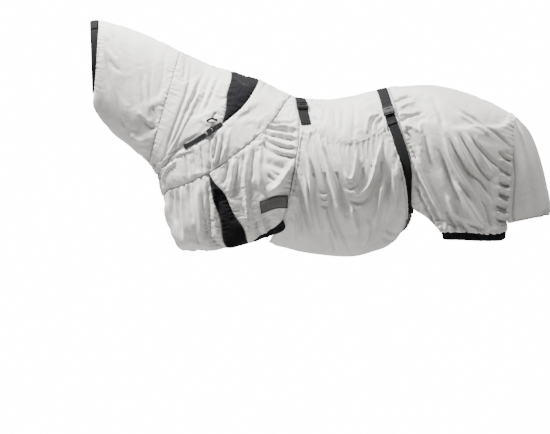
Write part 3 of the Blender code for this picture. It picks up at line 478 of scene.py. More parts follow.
# ---------------------------------------------------------------- small helpers
def read_rows(rows: Array, where: Array) -> Array:
    """Reads a smooth curve through rows of numbers.

    Args:
        rows: the rows, one per whole position.
        where: positions, counted in rows.

    Returns:
        One row of values for each position.
    """
    rows = np.asarray(rows, float)
    where = np.clip(np.asarray(where, float), 0, len(rows) - 1)
    i = np.minimum(where.astype(int), len(rows) - 2)
    f = (where - i)[..., None]
    p1, p2 = rows[i], rows[i + 1]
    first, final = (i == 0)[..., None], (i == len(rows) - 2)[..., None]
    m1 = np.where(first, p2 - p1, (p2 - rows[np.maximum(i - 1, 0)]) / 2)
    m2 = np.where(final, p2 - p1, (rows[np.minimum(i + 2, len(rows) - 1)] - p1) / 2)
    return ((2 * f**3 - 3 * f**2 + 1) * p1 + (f**3 - 2 * f**2 + f) * m1
            + (3 * f**2 - 2 * f**3) * p2 + (f**3 - f**2) * m2)


def smooth_line(points: list, parts: int = 6) -> Array:
    """Adds points, parts to each span, along a line so that it bends smoothly."""
    return read_rows(points, np.linspace(0, len(points) - 1, (len(points) - 1) * parts + 1))


def ease(value: Array) -> Array:
    """Smooth step from 0 to 1."""
    value = np.clip(value, 0, 1)
    return value * value * (3 - 2 * value)


def to_line(spots: Array, line: Array) -> tuple[Array, Array]:
    """Measures places against a broken line.

    Args:
        spots: places, (n, k).
        line: the line's points, (m, k).

    Returns:
        The distance of each place, and how far along the line it lies.
    """
    best, along = np.full(len(spots), np.inf), np.zeros(len(spots))
    reached = 0.0
    for start, end in zip(line, line[1:]):
        step = end - start
        span = float(np.linalg.norm(step))
        t = np.clip((spots - start) @ step / span**2, 0, 1)
        distance = np.linalg.norm(spots - start - t[:, None] * step, axis=1)
        closer = distance < best
        best = np.where(closer, distance, best)
        along = np.where(closer, reached + t * span, along)
        reached += span
    return best, along


def lattice_noise(u: Array, v: Array, seed: int) -> Array:
    """Smooth noise from -1 to 1, one bump per unit of u and v.

    Args:
        u: places one way.
        v: places the other way, as many.
        seed: picks the noise.

    Returns:
        The noise at each place.
    """
    table = np.random.default_rng(seed).uniform(-1, 1, (64, 64))
    iu, iv = np.floor(u).astype(int), np.floor(v).astype(int)
    fu, fv = ease(u - iu), ease(v - iv)

    def corner(a: int, b: int) -> Array:
        """Value at one corner of each cell."""
        return table[(iu + a) % 64, (iv + b) % 64]

    return ((corner(0, 0) * (1 - fu) + corner(1, 0) * fu) * (1 - fv)
            + (corner(0, 1) * (1 - fu) + corner(1, 1) * fu) * fv)


def unit_grid(rows: int, columns: int) -> tuple[Array, Array]:
    """Two tables that run from 0 to 1, one down the rows and one along the columns."""
    return tuple(np.meshgrid(np.linspace(0, 1, rows), np.linspace(0, 1, columns), indexing="ij"))


def rim_distance(t: Array, u: Array, height: float, width: float) -> Array:
    """Metres to the nearest edge of a patch, at shares t down it and u across it."""
    return np.minimum(np.minimum(t, 1 - t) * height, np.minimum(u, 1 - u) * width)


def bump(distance: Array, at: float, width: float) -> Array:
    """Round rise from 0 to 1 and back, centred at a distance."""
    return np.exp(-((distance - at) / width)**2)


def fold_height(folds: list[Fold], x: Array, z: Array) -> Array:
    """Height of the folds at places seen from the side.

    Args:
        folds: the ridges and valleys.
        x: places along the horse, in metres.
        z: their heights, in metres.

    Returns:
        How far the cloth stands out there, in metres.
    """
    total, spots = np.zeros(len(x)), np.stack([x, z], 1)
    for fold in folds:
        line = smooth_line(fold.line, 4)
        margin = 3 * fold.width
        inside = ((spots > line.min(0) - margin) & (spots < line.max(0) + margin)).all(1)
        near = np.flatnonzero(inside)
        if not len(near):
            continue
        distance, along = to_line(spots[near], line)
        length = np.linalg.norm(np.diff(line, axis=0), axis=1).sum()
        taper = .12 + .88 * ease(np.minimum(along, length - along) / (.22 * length))
        total[near] += fold.height * FOLD_RELIEF * taper * bump(distance, 0, fold.width)
    return total


def pucker_wave(along: Array, pitch: float, seed: int) -> Array:
    """Uneven gathers along a seam: round ridges and sharp valleys, from -0.6 to 0.4.

    Args:
        along: places along the seam.
        pitch: distance between ridges, in the same unit.
        seed: shifts the unevenness.

    Returns:
        The wave's height at each place.
    """
    turn = math.pi * along / pitch
    turn = turn + 1.0 * np.sin(turn / 2.7 + seed) + .8 * np.sin(turn / 4.3 + 2 * seed)
    swell = .68 + .32 * np.sin(turn / 3.1 + 1.7 * seed)
    return (np.abs(np.cos(turn))**.8 - .6) * swell


# ---------------------------------------------------------------- the horse's form
class BodyForm:
    """The lofted surface that the sheet lies on."""

    def __init__(self) -> None:
        """Turns the section table into metres, with the lining at the withers at z = 0."""
        table = np.array([[*top, *low, *shape] for top, low, *shape in SECTIONS])
        for column in (0, 2):
            table[:, column] *= np.where(table[:, column] < 0, NECK_REACH, BACK_LENGTH)
        table[:, (1, 3)] *= GIRTH_DEPTH
        table[:, 4] *= BARREL_HALF_WIDTH
        table[:, (1, 3)] -= np.interp(0, table[:, 0], table[:, 1]) - 0.002
        self.rows = table

    def point(self, s: Array, a: Array, closed: bool = False) -> Array:
        """Points of the form.

        Args:
            s: section lines.
            a: 0..1 down the near side, 1..2 up the off side.
            closed: shuts the sections underneath, as the belly flap does.

        Returns:
            The points, (..., 3).
        """
        s, a = np.broadcast_arrays(np.asarray(s, float), np.asarray(a, float))
        x0, z0, x1, z1, width, widest, upper, lower, opening = np.moveaxis(
            read_rows(self.rows, s), -1, 0)
        turn = math.pi * np.clip(np.minimum(a, 2 - a), 0, 1)
        bow = np.maximum(np.sin(turn), 1e-12)
        opening = np.zeros_like(opening) if closed else np.maximum(opening, 0)
        high = turn <= math.pi / 2
        depth = np.where(high, widest * (1 - np.cos(turn)), widest - (1 - widest) * np.cos(turn))
        out = np.where(high, width * bow**upper, width * (opening + (1 - opening) * bow**lower))
        side = np.where(a > 1, 1, -1)
        return np.stack([x0 + (x1 - x0) * depth, side * out, z0 + (z1 - z0) * depth], -1)

    def normal(self, s: Array, a: Array, closed: bool = False) -> Array:
        """Unit normals of the form, away from the horse.

        Args:
            s: section lines.
            a: 0..1 down the near side, 1..2 up the off side.
            closed: shuts the sections underneath.

        Returns:
            The normals, (..., 3).
        """
        s, a = np.broadcast_arrays(np.asarray(s, float), np.asarray(a, float))
        ds, da = .05, .004
        low, high = np.where(a <= 1, 0.0, 1.0), np.where(a <= 1, 1.0, 2.0)
        along = (self.point(np.minimum(s + ds, LAST), a, closed)
                 - self.point(np.maximum(s - ds, 0), a, closed))
        down = (self.point(s, np.minimum(a + da, high), closed)
                - self.point(s, np.maximum(a - da, low), closed))
        found = np.cross(down, along)
        spine = np.minimum(np.abs(a) / .012, 1)
        found[..., 1] *= spine
        return found / np.maximum(np.linalg.norm(found, axis=-1, keepdims=True), 1e-12)

    def v_at_depth(self, s: Array, z: float) -> Array:
        """Finds where the closed form is at one height.

        Args:
            s: section lines.
            z: the height, in metres.

        Returns:
            v on each section line.
        """
        _, z0, _, z1, _, widest, *_ = np.moveaxis(read_rows(self.rows, s), -1, 0)
        depth = (z - z0) / (z1 - z0)
        cosine = np.where(depth <= widest, 1 - depth / widest, -(depth - widest) / (1 - widest))
        return np.arccos(np.clip(cosine, -1, 1)) / math.pi


# ---------------------------------------------------------------- meshes
def make_piece(name: str, points: Array, faces: list, finish: bpy.types.Material,
               flat: Array | None = None,
               marks: dict | None = None) -> Piece:
    """Makes one smooth mesh object with its flat layout and marks.

    Args:
        name: piece name.
        points: vertex places, (n, 3).
        faces: vertex numbers of each face.
        finish: the material.
        flat: each vertex's place in the flat cloth, in metres, as the UV map.
        marks: named values per vertex, which the material reads.

    Returns:
        The new object.
    """
    mesh = bpy.data.meshes.new(name)
    mesh.from_pydata(np.asarray(points, float).tolist(), [], [list(map(int, f)) for f in faces])
    mesh.update()
    mesh.polygons.foreach_set("use_smooth", [True] * len(mesh.polygons))
    if flat is not None:
        corners = np.zeros(len(mesh.loops), int)
        mesh.loops.foreach_get("vertex_index", corners)
        layer = mesh.uv_layers.new(name="flat")
        layer.data.foreach_set("uv", np.asarray(flat, np.float32)[corners].ravel())
    for mark, values in (marks or {}).items():
        attribute = mesh.attributes.new(mark, "FLOAT", "POINT")
        attribute.data.foreach_set("value", np.asarray(values, np.float32))
    obj = bpy.data.objects.new(name, mesh)
    bpy.context.scene.collection.objects.link(obj)
    mesh.materials.append(finish)
    return obj


def give_wall(obj: Piece, wall: float) -> None:
    """Gives a sheet its thickness, inwards."""
    solid = obj.modifiers.new("wall", "SOLIDIFY")
    solid.thickness, solid.offset = wall, -1.0


def put_on(obj: Piece, body: str, *nodes: str) -> None:
    """Lets a piece ride on a CAD body and stand for CAD nodes, if any are named."""
    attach(obj, body)
    if nodes:
        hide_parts(*nodes)


def face_out(obj: Piece, outward: Vector) -> None:
    """Turns a sheet over if its middle face looks away from a direction."""
    if obj.data.polygons[len(obj.data.polygons) // 2].normal.dot(outward) < 0:
        obj.data.flip_normals()


def grid_faces(rows: int, columns: int, ring: bool = False, flip: bool = False) -> Array:
    """Joins a grid of points, listed row by row, with quads.

    Args:
        rows: number of rows.
        columns: number of points in a row.
        ring: joins the last column to the first.
        flip: turns the faces over.

    Returns:
        The quads' point numbers, (n, 4).
    """
    r, c = np.meshgrid(np.arange(rows - 1), np.arange(columns if ring else columns - 1),
                       indexing="ij")
    r, c, d = r.ravel(), c.ravel(), (c.ravel() + 1) % columns
    faces = np.stack([r * columns + c, (r + 1) * columns + c, (r + 1) * columns + d,
                      r * columns + d], 1)
    return faces[:, ::-1] if flip else faces


def relax(points: Array, faces: list, pinned: Array, growth: float,
          frames: int) -> Array:
    """Lets a sheet buckle and hang as cloth, held where it is sewn.

    Args:
        points: the sheet's places at the start, (n, 3).
        faces: its faces.
        pinned: numbers of the vertices that are sewn down.
        growth: spare cloth between the seams, as a share of its size.
        frames: how many steps it is given.

    Returns:
        How far each vertex has moved, (n, 3).
    """
    mesh = bpy.data.meshes.new("relaxing")
    mesh.from_pydata(points.tolist(), [], [list(map(int, f)) for f in faces])
    obj = bpy.data.objects.new("relaxing", mesh)
    scene = bpy.context.scene
    scene.collection.objects.link(obj)
    sewn = obj.vertex_groups.new(name="sewn")
    sewn.add([int(i) for i in pinned], 1.0, "REPLACE")
    cloth = obj.modifiers.new("cloth", "CLOTH")
    settings = cloth.settings
    settings.quality, settings.mass, settings.air_damping = 5, .15, 4.0
    settings.tension_stiffness = settings.compression_stiffness = 12.0
    settings.shear_stiffness, settings.bending_stiffness = 5.0, .8
    settings.vertex_group_mass, settings.pin_stiffness = "sewn", 1.0
    settings.shrink_min = -growth
    settings.effector_weights.gravity = .5
    cloth.collision_settings.use_collision = False
    cloth.collision_settings.use_self_collision = False
    cloth.point_cache.frame_start, cloth.point_cache.frame_end = 1, frames
    for step in range(1, frames + 1):
        scene.frame_set(step)
    settled = obj.evaluated_get(bpy.context.evaluated_depsgraph_get())
    places = np.zeros(len(points) * 3, np.float32)
    settled.data.vertices.foreach_get("co", places)
    bpy.data.objects.remove(obj)
    scene.frame_set(1)
    moved = places.reshape(-1, 3) - points
    return np.where(np.isfinite(moved), moved, 0)


def hold_back(moved: Array, normals: Array, out: float, into: float,
              along: float) -> Array:
    """Caps how far relaxed cloth may move.

    Args:
        moved: how far each point has moved, (n, 3).
        normals: the form's normals there.
        out: the cap outwards, in metres.
        into: the cap inwards.
        along: the cap sideways.

    Returns:
        The capped moves.
    """
    height = (moved * normals).sum(1)
    sideways = moved - normals * height[:, None]
    run = np.linalg.norm(sideways, axis=1, keepdims=True)
    sideways *= np.minimum(1, along / np.maximum(run, 1e-9))
    height = np.where(height > 0, out * np.tanh(height / out), into * np.tanh(height / into))
    return normals * height[:, None] + sideways


# ---------------------------------------------------------------- materials
BANDS = .314159             # scale at which a wave texture's bands are one metre apart
# Painted shade along stitched seams and hem grooves, with the seams' needle holes.
SEAM_SHADE = "#4A4846"      # needle holes and shadow along a seam


def linear(colour: str) -> tuple[float, float, float, float]:
    """Turns an sRGB hex colour into linear numbers."""
    parts = [int(colour[i:i + 2], 16) / 255 for i in (1, 3, 5)]
    return (*[c / 12.92 if c <= .04045 else ((c + .055) / 1.055)**2.4 for c in parts], 1.0)


def add_node(tree: bpy.types.NodeTree, kind: str, links: dict | None = None,
             **settings: object) -> bpy.types.Node:
    """Adds one shader node.

    Args:
        tree: the material's tree.
        kind: the node's type, without ShaderNode.
        links: socket name or number to a value or to another node's output.
        settings: the node's own properties.

    Returns:
        The new node.
    """
    node = tree.nodes.new("ShaderNode" + kind)
    for name, value in settings.items():
        setattr(node, name, value)
    for socket, value in (links or {}).items():
        if isinstance(value, bpy.types.NodeSocket):
            tree.links.new(value, node.inputs[socket])
        else:
            node.inputs[socket].default_value = value
    return node


@dataclass(frozen=True)
class Finish:
    """What every finish has: a name, colours and how it takes light."""
    name: str
    colour: str
    second: str
    roughness: float
    sheen: float = 0.0
    specular: float = 0.4

    def begin(self) -> tuple[bpy.types.Material, bpy.types.NodeTree, bpy.types.Node]:
        """Makes the material with what every finish shares.

        Returns:
            The material, its tree and its shader.
        """
        material = bpy.data.materials.new(self.name)
        material.use_nodes = True
        tree = material.node_tree
        shader = tree.nodes["Principled BSDF"]
        shader.inputs["Roughness"].default_value = self.roughness
        shader.inputs["Specular IOR Level"].default_value = self.specular
        shader.inputs["Sheen Weight"].default_value = self.sheen
        shader.inputs["Sheen Roughness"].default_value = 0.45
        return material, tree, shader

    def colour_and_relief(self, tree: bpy.types.NodeTree, shader: bpy.types.Node,
                          tone: bpy.types.NodeSocket, height: bpy.types.NodeSocket,
                          strength: float, depth: float) -> None:
        """Mixes the finish's two colours and raises its surface.

        Args:
            tree: the material's tree.
            shader: its shader.
            tone: 0 for the first colour, 1 for the second.
            height: the pattern that stands out.
            strength: how strongly it does.
            depth: how far, in metres.
        """
        base = add_node(tree, "Mix", {"Factor": tone, 6: linear(self.colour),
                        7: linear(self.second)}, data_type="RGBA")
        tree.links.new(base.outputs[2], shader.inputs["Base Color"])
        raised = add_node(tree, "Bump", {"Height": height, "Strength": strength,
                          "Distance": depth})
        tree.links.new(raised.outputs[0], shader.inputs["Normal"])


@dataclass(frozen=True)
class WovenCloth(Finish):
    """Woven polyester: crossed threads, soft sheen, small creases and painted shade along its
    seams.
    """
    thread: float = 0.0016      # drawn coarser than the real 0.4 mm, so that it shows
    crumple: float = 0.5

    def build(self) -> bpy.types.Material:
        """Builds and returns the material."""
        material, tree, shader = self.begin()
        flat = add_node(tree, "UVMap", uv_map="flat").outputs["UV"]
        place = add_node(tree, "TexCoord").outputs["Object"]
        warp = add_node(tree, "TexWave", {"Vector": flat, "Scale": BANDS / self.thread},
                        bands_direction="X").outputs["Fac"]
        weft = add_node(tree, "TexWave", {"Vector": flat, "Scale": BANDS / (self.thread * 1.15)},
                        bands_direction="Y").outputs["Fac"]
        weave = add_node(tree, "Math", {0: warp, 1: weft}, operation="MULTIPLY")
        clouds = add_node(tree, "TexNoise", {"Vector": place, "Scale": 7.0,
                          "Detail": 4.0, "Roughness": .6})
        tone = add_node(tree, "MapRange", {"Value": clouds.outputs["Fac"], 1: .35,
                        2: .65})
        base = add_node(tree, "Mix", {"Factor": tone.outputs[0], 6: linear(self.colour),
                        7: linear(self.second)}, data_type="RGBA")
        # Painted shade: the seam mark darkens the cloth towards SEAM_SHADE along seams, hems and
        # edges.
        seam = add_node(tree, "Attribute", attribute_name="painted_seam_shade")
        shade = add_node(tree, "Mix", {"Factor": seam.outputs["Fac"],
                         6: base.outputs[2], 7: linear(SEAM_SHADE)}, data_type="RGBA")
        tree.links.new(shade.outputs[2], shader.inputs["Base Color"])
        slack = add_node(tree, "TexNoise", {"Vector": place, "Scale": 38.0,
                         "Detail": 3.0, "Roughness": .55, "Distortion": .7})
        soft = add_node(tree, "Bump", {"Height": slack.outputs["Fac"],
                        "Strength": self.crumple, "Distance": .004})
        fine = add_node(tree, "Bump", {"Height": weave.outputs[0], "Strength": .35,
                        "Distance": .0004, "Normal": soft.outputs[0]})
        tree.links.new(fine.outputs[0], shader.inputs["Normal"])
        return material


@dataclass(frozen=True)
class KnitMesh(Finish):
    """Warp-knitted stretch fabric: rows of small loops, matt with a soft rim of light."""
    loop: float = 0.0022        # drawn coarser than the real 0.8 mm, so that it shows

    def build(self) -> bpy.types.Material:
        """Builds and returns the material."""
        material, tree, shader = self.begin()
        flat = add_node(tree, "UVMap", uv_map="flat").outputs["UV"]
        rows = add_node(tree, "TexWave", {"Vector": flat, "Scale": BANDS / self.loop},
                        bands_direction="X").outputs["Fac"]
        loops = add_node(tree, "TexWave", {"Vector": flat, "Scale": BANDS / (self.loop * .8)},
                         bands_direction="Y").outputs["Fac"]
        knit = add_node(tree, "Math", {0: rows, 1: loops}, operation="MULTIPLY")
        self.colour_and_relief(tree, shader, knit.outputs[0], knit.outputs[0], .5, .0008)
        return material


@dataclass(frozen=True)
class RibbedWebbing(Finish):
    """Woven webbing or elastic: ribs across, a twill along, and rib tops coloured lighter."""
    rib: float = 0.0024         # the pitch of 50 mm rug webbing

    def build(self) -> bpy.types.Material:
        """Builds and returns the material."""
        material, tree, shader = self.begin()
        flat = add_node(tree, "UVMap", uv_map="flat").outputs["UV"]
        ribs = add_node(tree, "TexWave", {"Vector": flat, "Scale": BANDS / self.rib},
                        bands_direction="Y").outputs["Fac"]
        twill = add_node(tree, "TexWave", {"Vector": flat, "Scale": BANDS / (self.rib * .7)},
                         bands_direction="DIAGONAL").outputs["Fac"]
        mixed = add_node(tree, "Math", {0: twill, 1: .35, 2: ribs},
                         operation="MULTIPLY_ADD")
        tone = add_node(tree, "MapRange", {"Value": mixed.outputs[0], 2: 1.35})
        self.colour_and_relief(tree, shader, tone.outputs[0], mixed.outputs[0], .7, .0008)
        return material


@dataclass(frozen=True)
class MouldedAcetal(Finish):
    """Injection-moulded acetal: near black, satin, with a fine spark-eroded grain."""
    grain: float = 0.0006       # spark-eroded grit

    def build(self) -> bpy.types.Material:
        """Builds and returns the material."""
        material, tree, shader = self.begin()
        place = add_node(tree, "TexCoord").outputs["Object"]
        grain = add_node(tree, "TexNoise", {"Vector": place, "Scale": 1 / self.grain,
                         "Detail": 2.0})
        marks = add_node(tree, "TexNoise", {"Vector": place, "Scale": 90.0,
                         "Detail": 5.0, "Roughness": .7})
        tone = add_node(tree, "MapRange", {"Value": marks.outputs["Fac"], 1: .45,
                        2: .75})
        gloss = add_node(tree, "MapRange", {"Value": marks.outputs["Fac"],
                         3: self.roughness - .06, 4: self.roughness + .10})
        tree.links.new(gloss.outputs[0], shader.inputs["Roughness"])
        self.colour_and_relief(tree, shader, tone.outputs[0], grain.outputs["Fac"], .25, .0002)
        return material


@dataclass(frozen=True)
class WovenLabel(Finish):
    """Damask-woven patch: fine satin face and a darker turned edge."""
    thread: float = 0.0011      # drawn coarser than the real 0.3 mm, so that it shows

    def build(self) -> bpy.types.Material:
        """Builds and returns the material."""
        material, tree, shader = self.begin()
        flat = add_node(tree, "UVMap", uv_map="flat").outputs["UV"]
        weft = add_node(tree, "TexWave", {"Vector": flat, "Scale": BANDS / self.thread},
                        bands_direction="Y").outputs["Fac"]
        edge = add_node(tree, "Attribute", attribute_name="border")
        face = add_node(tree, "Mix", {"Factor": weft, 6: linear(self.colour),
                        7: linear("#504F4E")}, data_type="RGBA")
        base = add_node(tree, "Mix", {"Factor": edge.outputs["Fac"],
                        6: face.outputs[2], 7: linear(self.second)}, data_type="RGBA")
        tree.links.new(base.outputs[2], shader.inputs["Base Color"])
        raised = add_node(tree, "Bump", {"Height": weft, "Strength": .5,
                          "Distance": .0004})
        tree.links.new(raised.outputs[0], shader.inputs["Normal"])
        return material


SILVER_CLOTH = WovenCloth("silver_woven_polyester", "#C9C7C3", "#B9B6B2", .52, sheen=.2,
                          specular=.3)
STRETCH_MESH = KnitMesh("black_stretch_mesh", "#070709", "#121215", .9, sheen=.05, specular=.12)
ELASTIC = RibbedWebbing("black_ribbed_elastic", "#070708", "#151517", .85, sheen=.03,
                        specular=.15, rib=.0032)
WEBBING_FINISH = RibbedWebbing("black_polypropylene_webbing", "#060607", "#131315", .8,
                               sheen=.03, specular=.15)
ACETAL = MouldedAcetal("black_moulded_acetal", "#070708", "#101011", .45, specular=.3)
LABEL_FINISH = WovenLabel("grey_woven_label", "#454443", "#232324", .6, sheen=.1)


class Finishes:
    """The built materials, one of each."""

    def __init__(self) -> None:
        """Builds every finish once."""
        self.silver, self.mesh = SILVER_CLOTH.build(), STRETCH_MESH.build()
        self.elastic, self.webbing = ELASTIC.build(), WEBBING_FINISH.build()
        self.acetal, self.label = ACETAL.build(), LABEL_FINISH.build()

    def for_panel(self, slot: str) -> bpy.types.Material:
        """The cloth of a panel's slot."""
        return {"silver_cloth": self.silver, "black_mesh": self.mesh,
                "black_elastic": self.elastic}[slot]


# ---------------------------------------------------------------- the cut cloth
class PatternCloth:
    """One side of the sheet laid flat, triangulated, and cut along every seam."""

    def __init__(self, form: BodyForm) -> None:
        """Lays the seams out flat, fills the cloth with points and cuts it."""
        self.form = form
        lines = form.point(np.arange(LAST + 1), .35)
        self.run = np.concatenate([[0], np.cumsum(np.linalg.norm(np.diff(lines, axis=0), axis=1))])
        middle = form.point(18, np.linspace(0, 1, 41))
        self.drop = float(np.linalg.norm(np.diff(middle, axis=0), axis=1).sum())
        self.seams = {name: self.lay_seam(seam) for name, seam in SEAMS.items()}
        self.cut(self.fill())

    def flat(self, s: Array, v: Array) -> Array:
        """Places in the flat cloth, in metres, of places (s, v)."""
        return np.stack([np.interp(s, range(LAST + 1), self.run), np.asarray(v) * self.drop], -1)

    def folded(self, flat: Array) -> tuple[Array, Array]:
        """The (s, v) of places in the flat cloth."""
        return (np.interp(flat[:, 0], self.run, np.arange(LAST + 1)),
                np.clip(flat[:, 1] / self.drop, 0, 1))

    def lay_seam(self, seam: list) -> Array:
        """Puts even points along a seam and keeps its own.

        Args:
            seam: the seam's places (s, v).

        Returns:
            Its points in the flat cloth.
        """
        found = []
        for k in range(len(seam) - 1):
            ends = self.flat(*np.array(seam[k:k + 2], float).T)
            count = max(round(float(np.linalg.norm(ends[1] - ends[0])) / SEAM_POINT_STEP), 1)
            found.append(self.flat(*read_rows(seam, k + np.arange(count) / count).T))
        return np.vstack([*found, self.flat(*np.array([seam[-1]], float).T)])

    def fill(self) -> Array:
        """Fills the cloth with points beside every seam and a lattice elsewhere.

        Returns:
            The points, in the flat cloth.
        """
        seam_points = np.vstack(list(self.seams.values()))
        tree = KDTree(len(seam_points))
        for i, (x, y) in enumerate(seam_points):
            tree.insert((x, y, 0), i)
        tree.balance()
        beside = []
        for line in self.seams.values():
            way = np.gradient(line, axis=0)
            way /= np.linalg.norm(way, axis=1, keepdims=True)
            across = np.stack([-way[:, 1], way[:, 0]], 1) * SEAM_SIDE
            beside += [line + across, line - across]
        beside = [p for p in np.vstack(beside)
                  if 0 < p[0] < self.run[-1] and 0 < p[1] < self.drop
                  and tree.find((*p, 0))[2] > SEAM_SIDE_CLEAR]
        row = PATTERN_STEP * .866
        lattice = [((c + .5 + .5 * (r % 2)) * PATTERN_STEP, r * PATTERN_STEP * .866)
                   for r in np.arange(1, int(self.drop / row))
                   for c in range(int(self.run[-1] / PATTERN_STEP))]
        lattice = [p for p in lattice if tree.find((*p, 0))[2] > LATTICE_CLEAR]
        return np.vstack([beside, lattice])

    def cut(self, inside: Array) -> None:
        """Triangulates the cloth and gives every triangle to its panel.

        Args:
            inside: the points between the seams.
        """
        points, edges = [], []
        for line in self.seams.values():
            first = len(points)
            points += line.tolist()
            edges += [(i, i + 1) for i in range(first, len(points) - 1)]
        points += inside.tolist()
        vertices, edges, faces, _, sources, _ = delaunay_2d_cdt(
            [Vector(p) for p in points], edges, [], 0, 1e-5)
        vertices = np.array([tuple(v) for v in vertices])
        sewn = {frozenset(edge) for edge, source in zip(edges, sources) if source}
        beside, owners = [[] for _ in faces], {}
        for f, face in enumerate(faces):
            for i in range(3):
                owners.setdefault(frozenset((face[i], face[(i + 1) % 3])), []).append(f)
        for edge, pair in owners.items():
            if len(pair) == 2 and edge not in sewn:
                beside[pair[0]].append(pair[1])
                beside[pair[1]].append(pair[0])
        faces = np.array([tuple(face) for face in faces])
        centres = vertices[faces].mean(1)
        owner = np.full(len(faces), -1)
        for number, panel in enumerate(PANELS.values()):
            start = int(np.argmin(np.linalg.norm(centres - self.flat(*panel.seed), axis=1)))
            owner[start], queue = number, [start]
            while queue:
                for n in beside[queue.pop()]:
                    if owner[n] < 0:
                        owner[n] = number
                        queue.append(n)
        kept = owner >= 0
        self.vertices, self.faces, self.owner = vertices, faces[kept], owner[kept]
        self.sewn = np.unique([i for edge in sewn for i in edge])

    def refined(self, values: Array) -> tuple[Array, Array, Array, Array]:
        """Splits each triangle in four.

        Args:
            values: a row of numbers for each vertex, read halfway for the new ones.

        Returns:
            Flat places, faces, the faces' panels, and the values.
        """
        ends = np.sort(self.faces[:, [0, 1, 1, 2, 2, 0]].reshape(-1, 2), axis=1)
        edges, number = np.unique(ends, axis=0, return_inverse=True)
        middle = number.reshape(-1, 3) + len(self.vertices)
        a, b, c = self.faces.T
        ab, bc, ca = middle.T
        faces = np.vstack([np.stack(f, 1) for f in ((a, ab, ca), (ab, b, bc), (ca, bc, c),
                                                    (ab, bc, ca))])
        flat = np.vstack([self.vertices, self.vertices[edges].mean(1)])
        values = np.vstack([values, values[edges].mean(1)])
        return flat, faces, np.tile(self.owner, 4), values


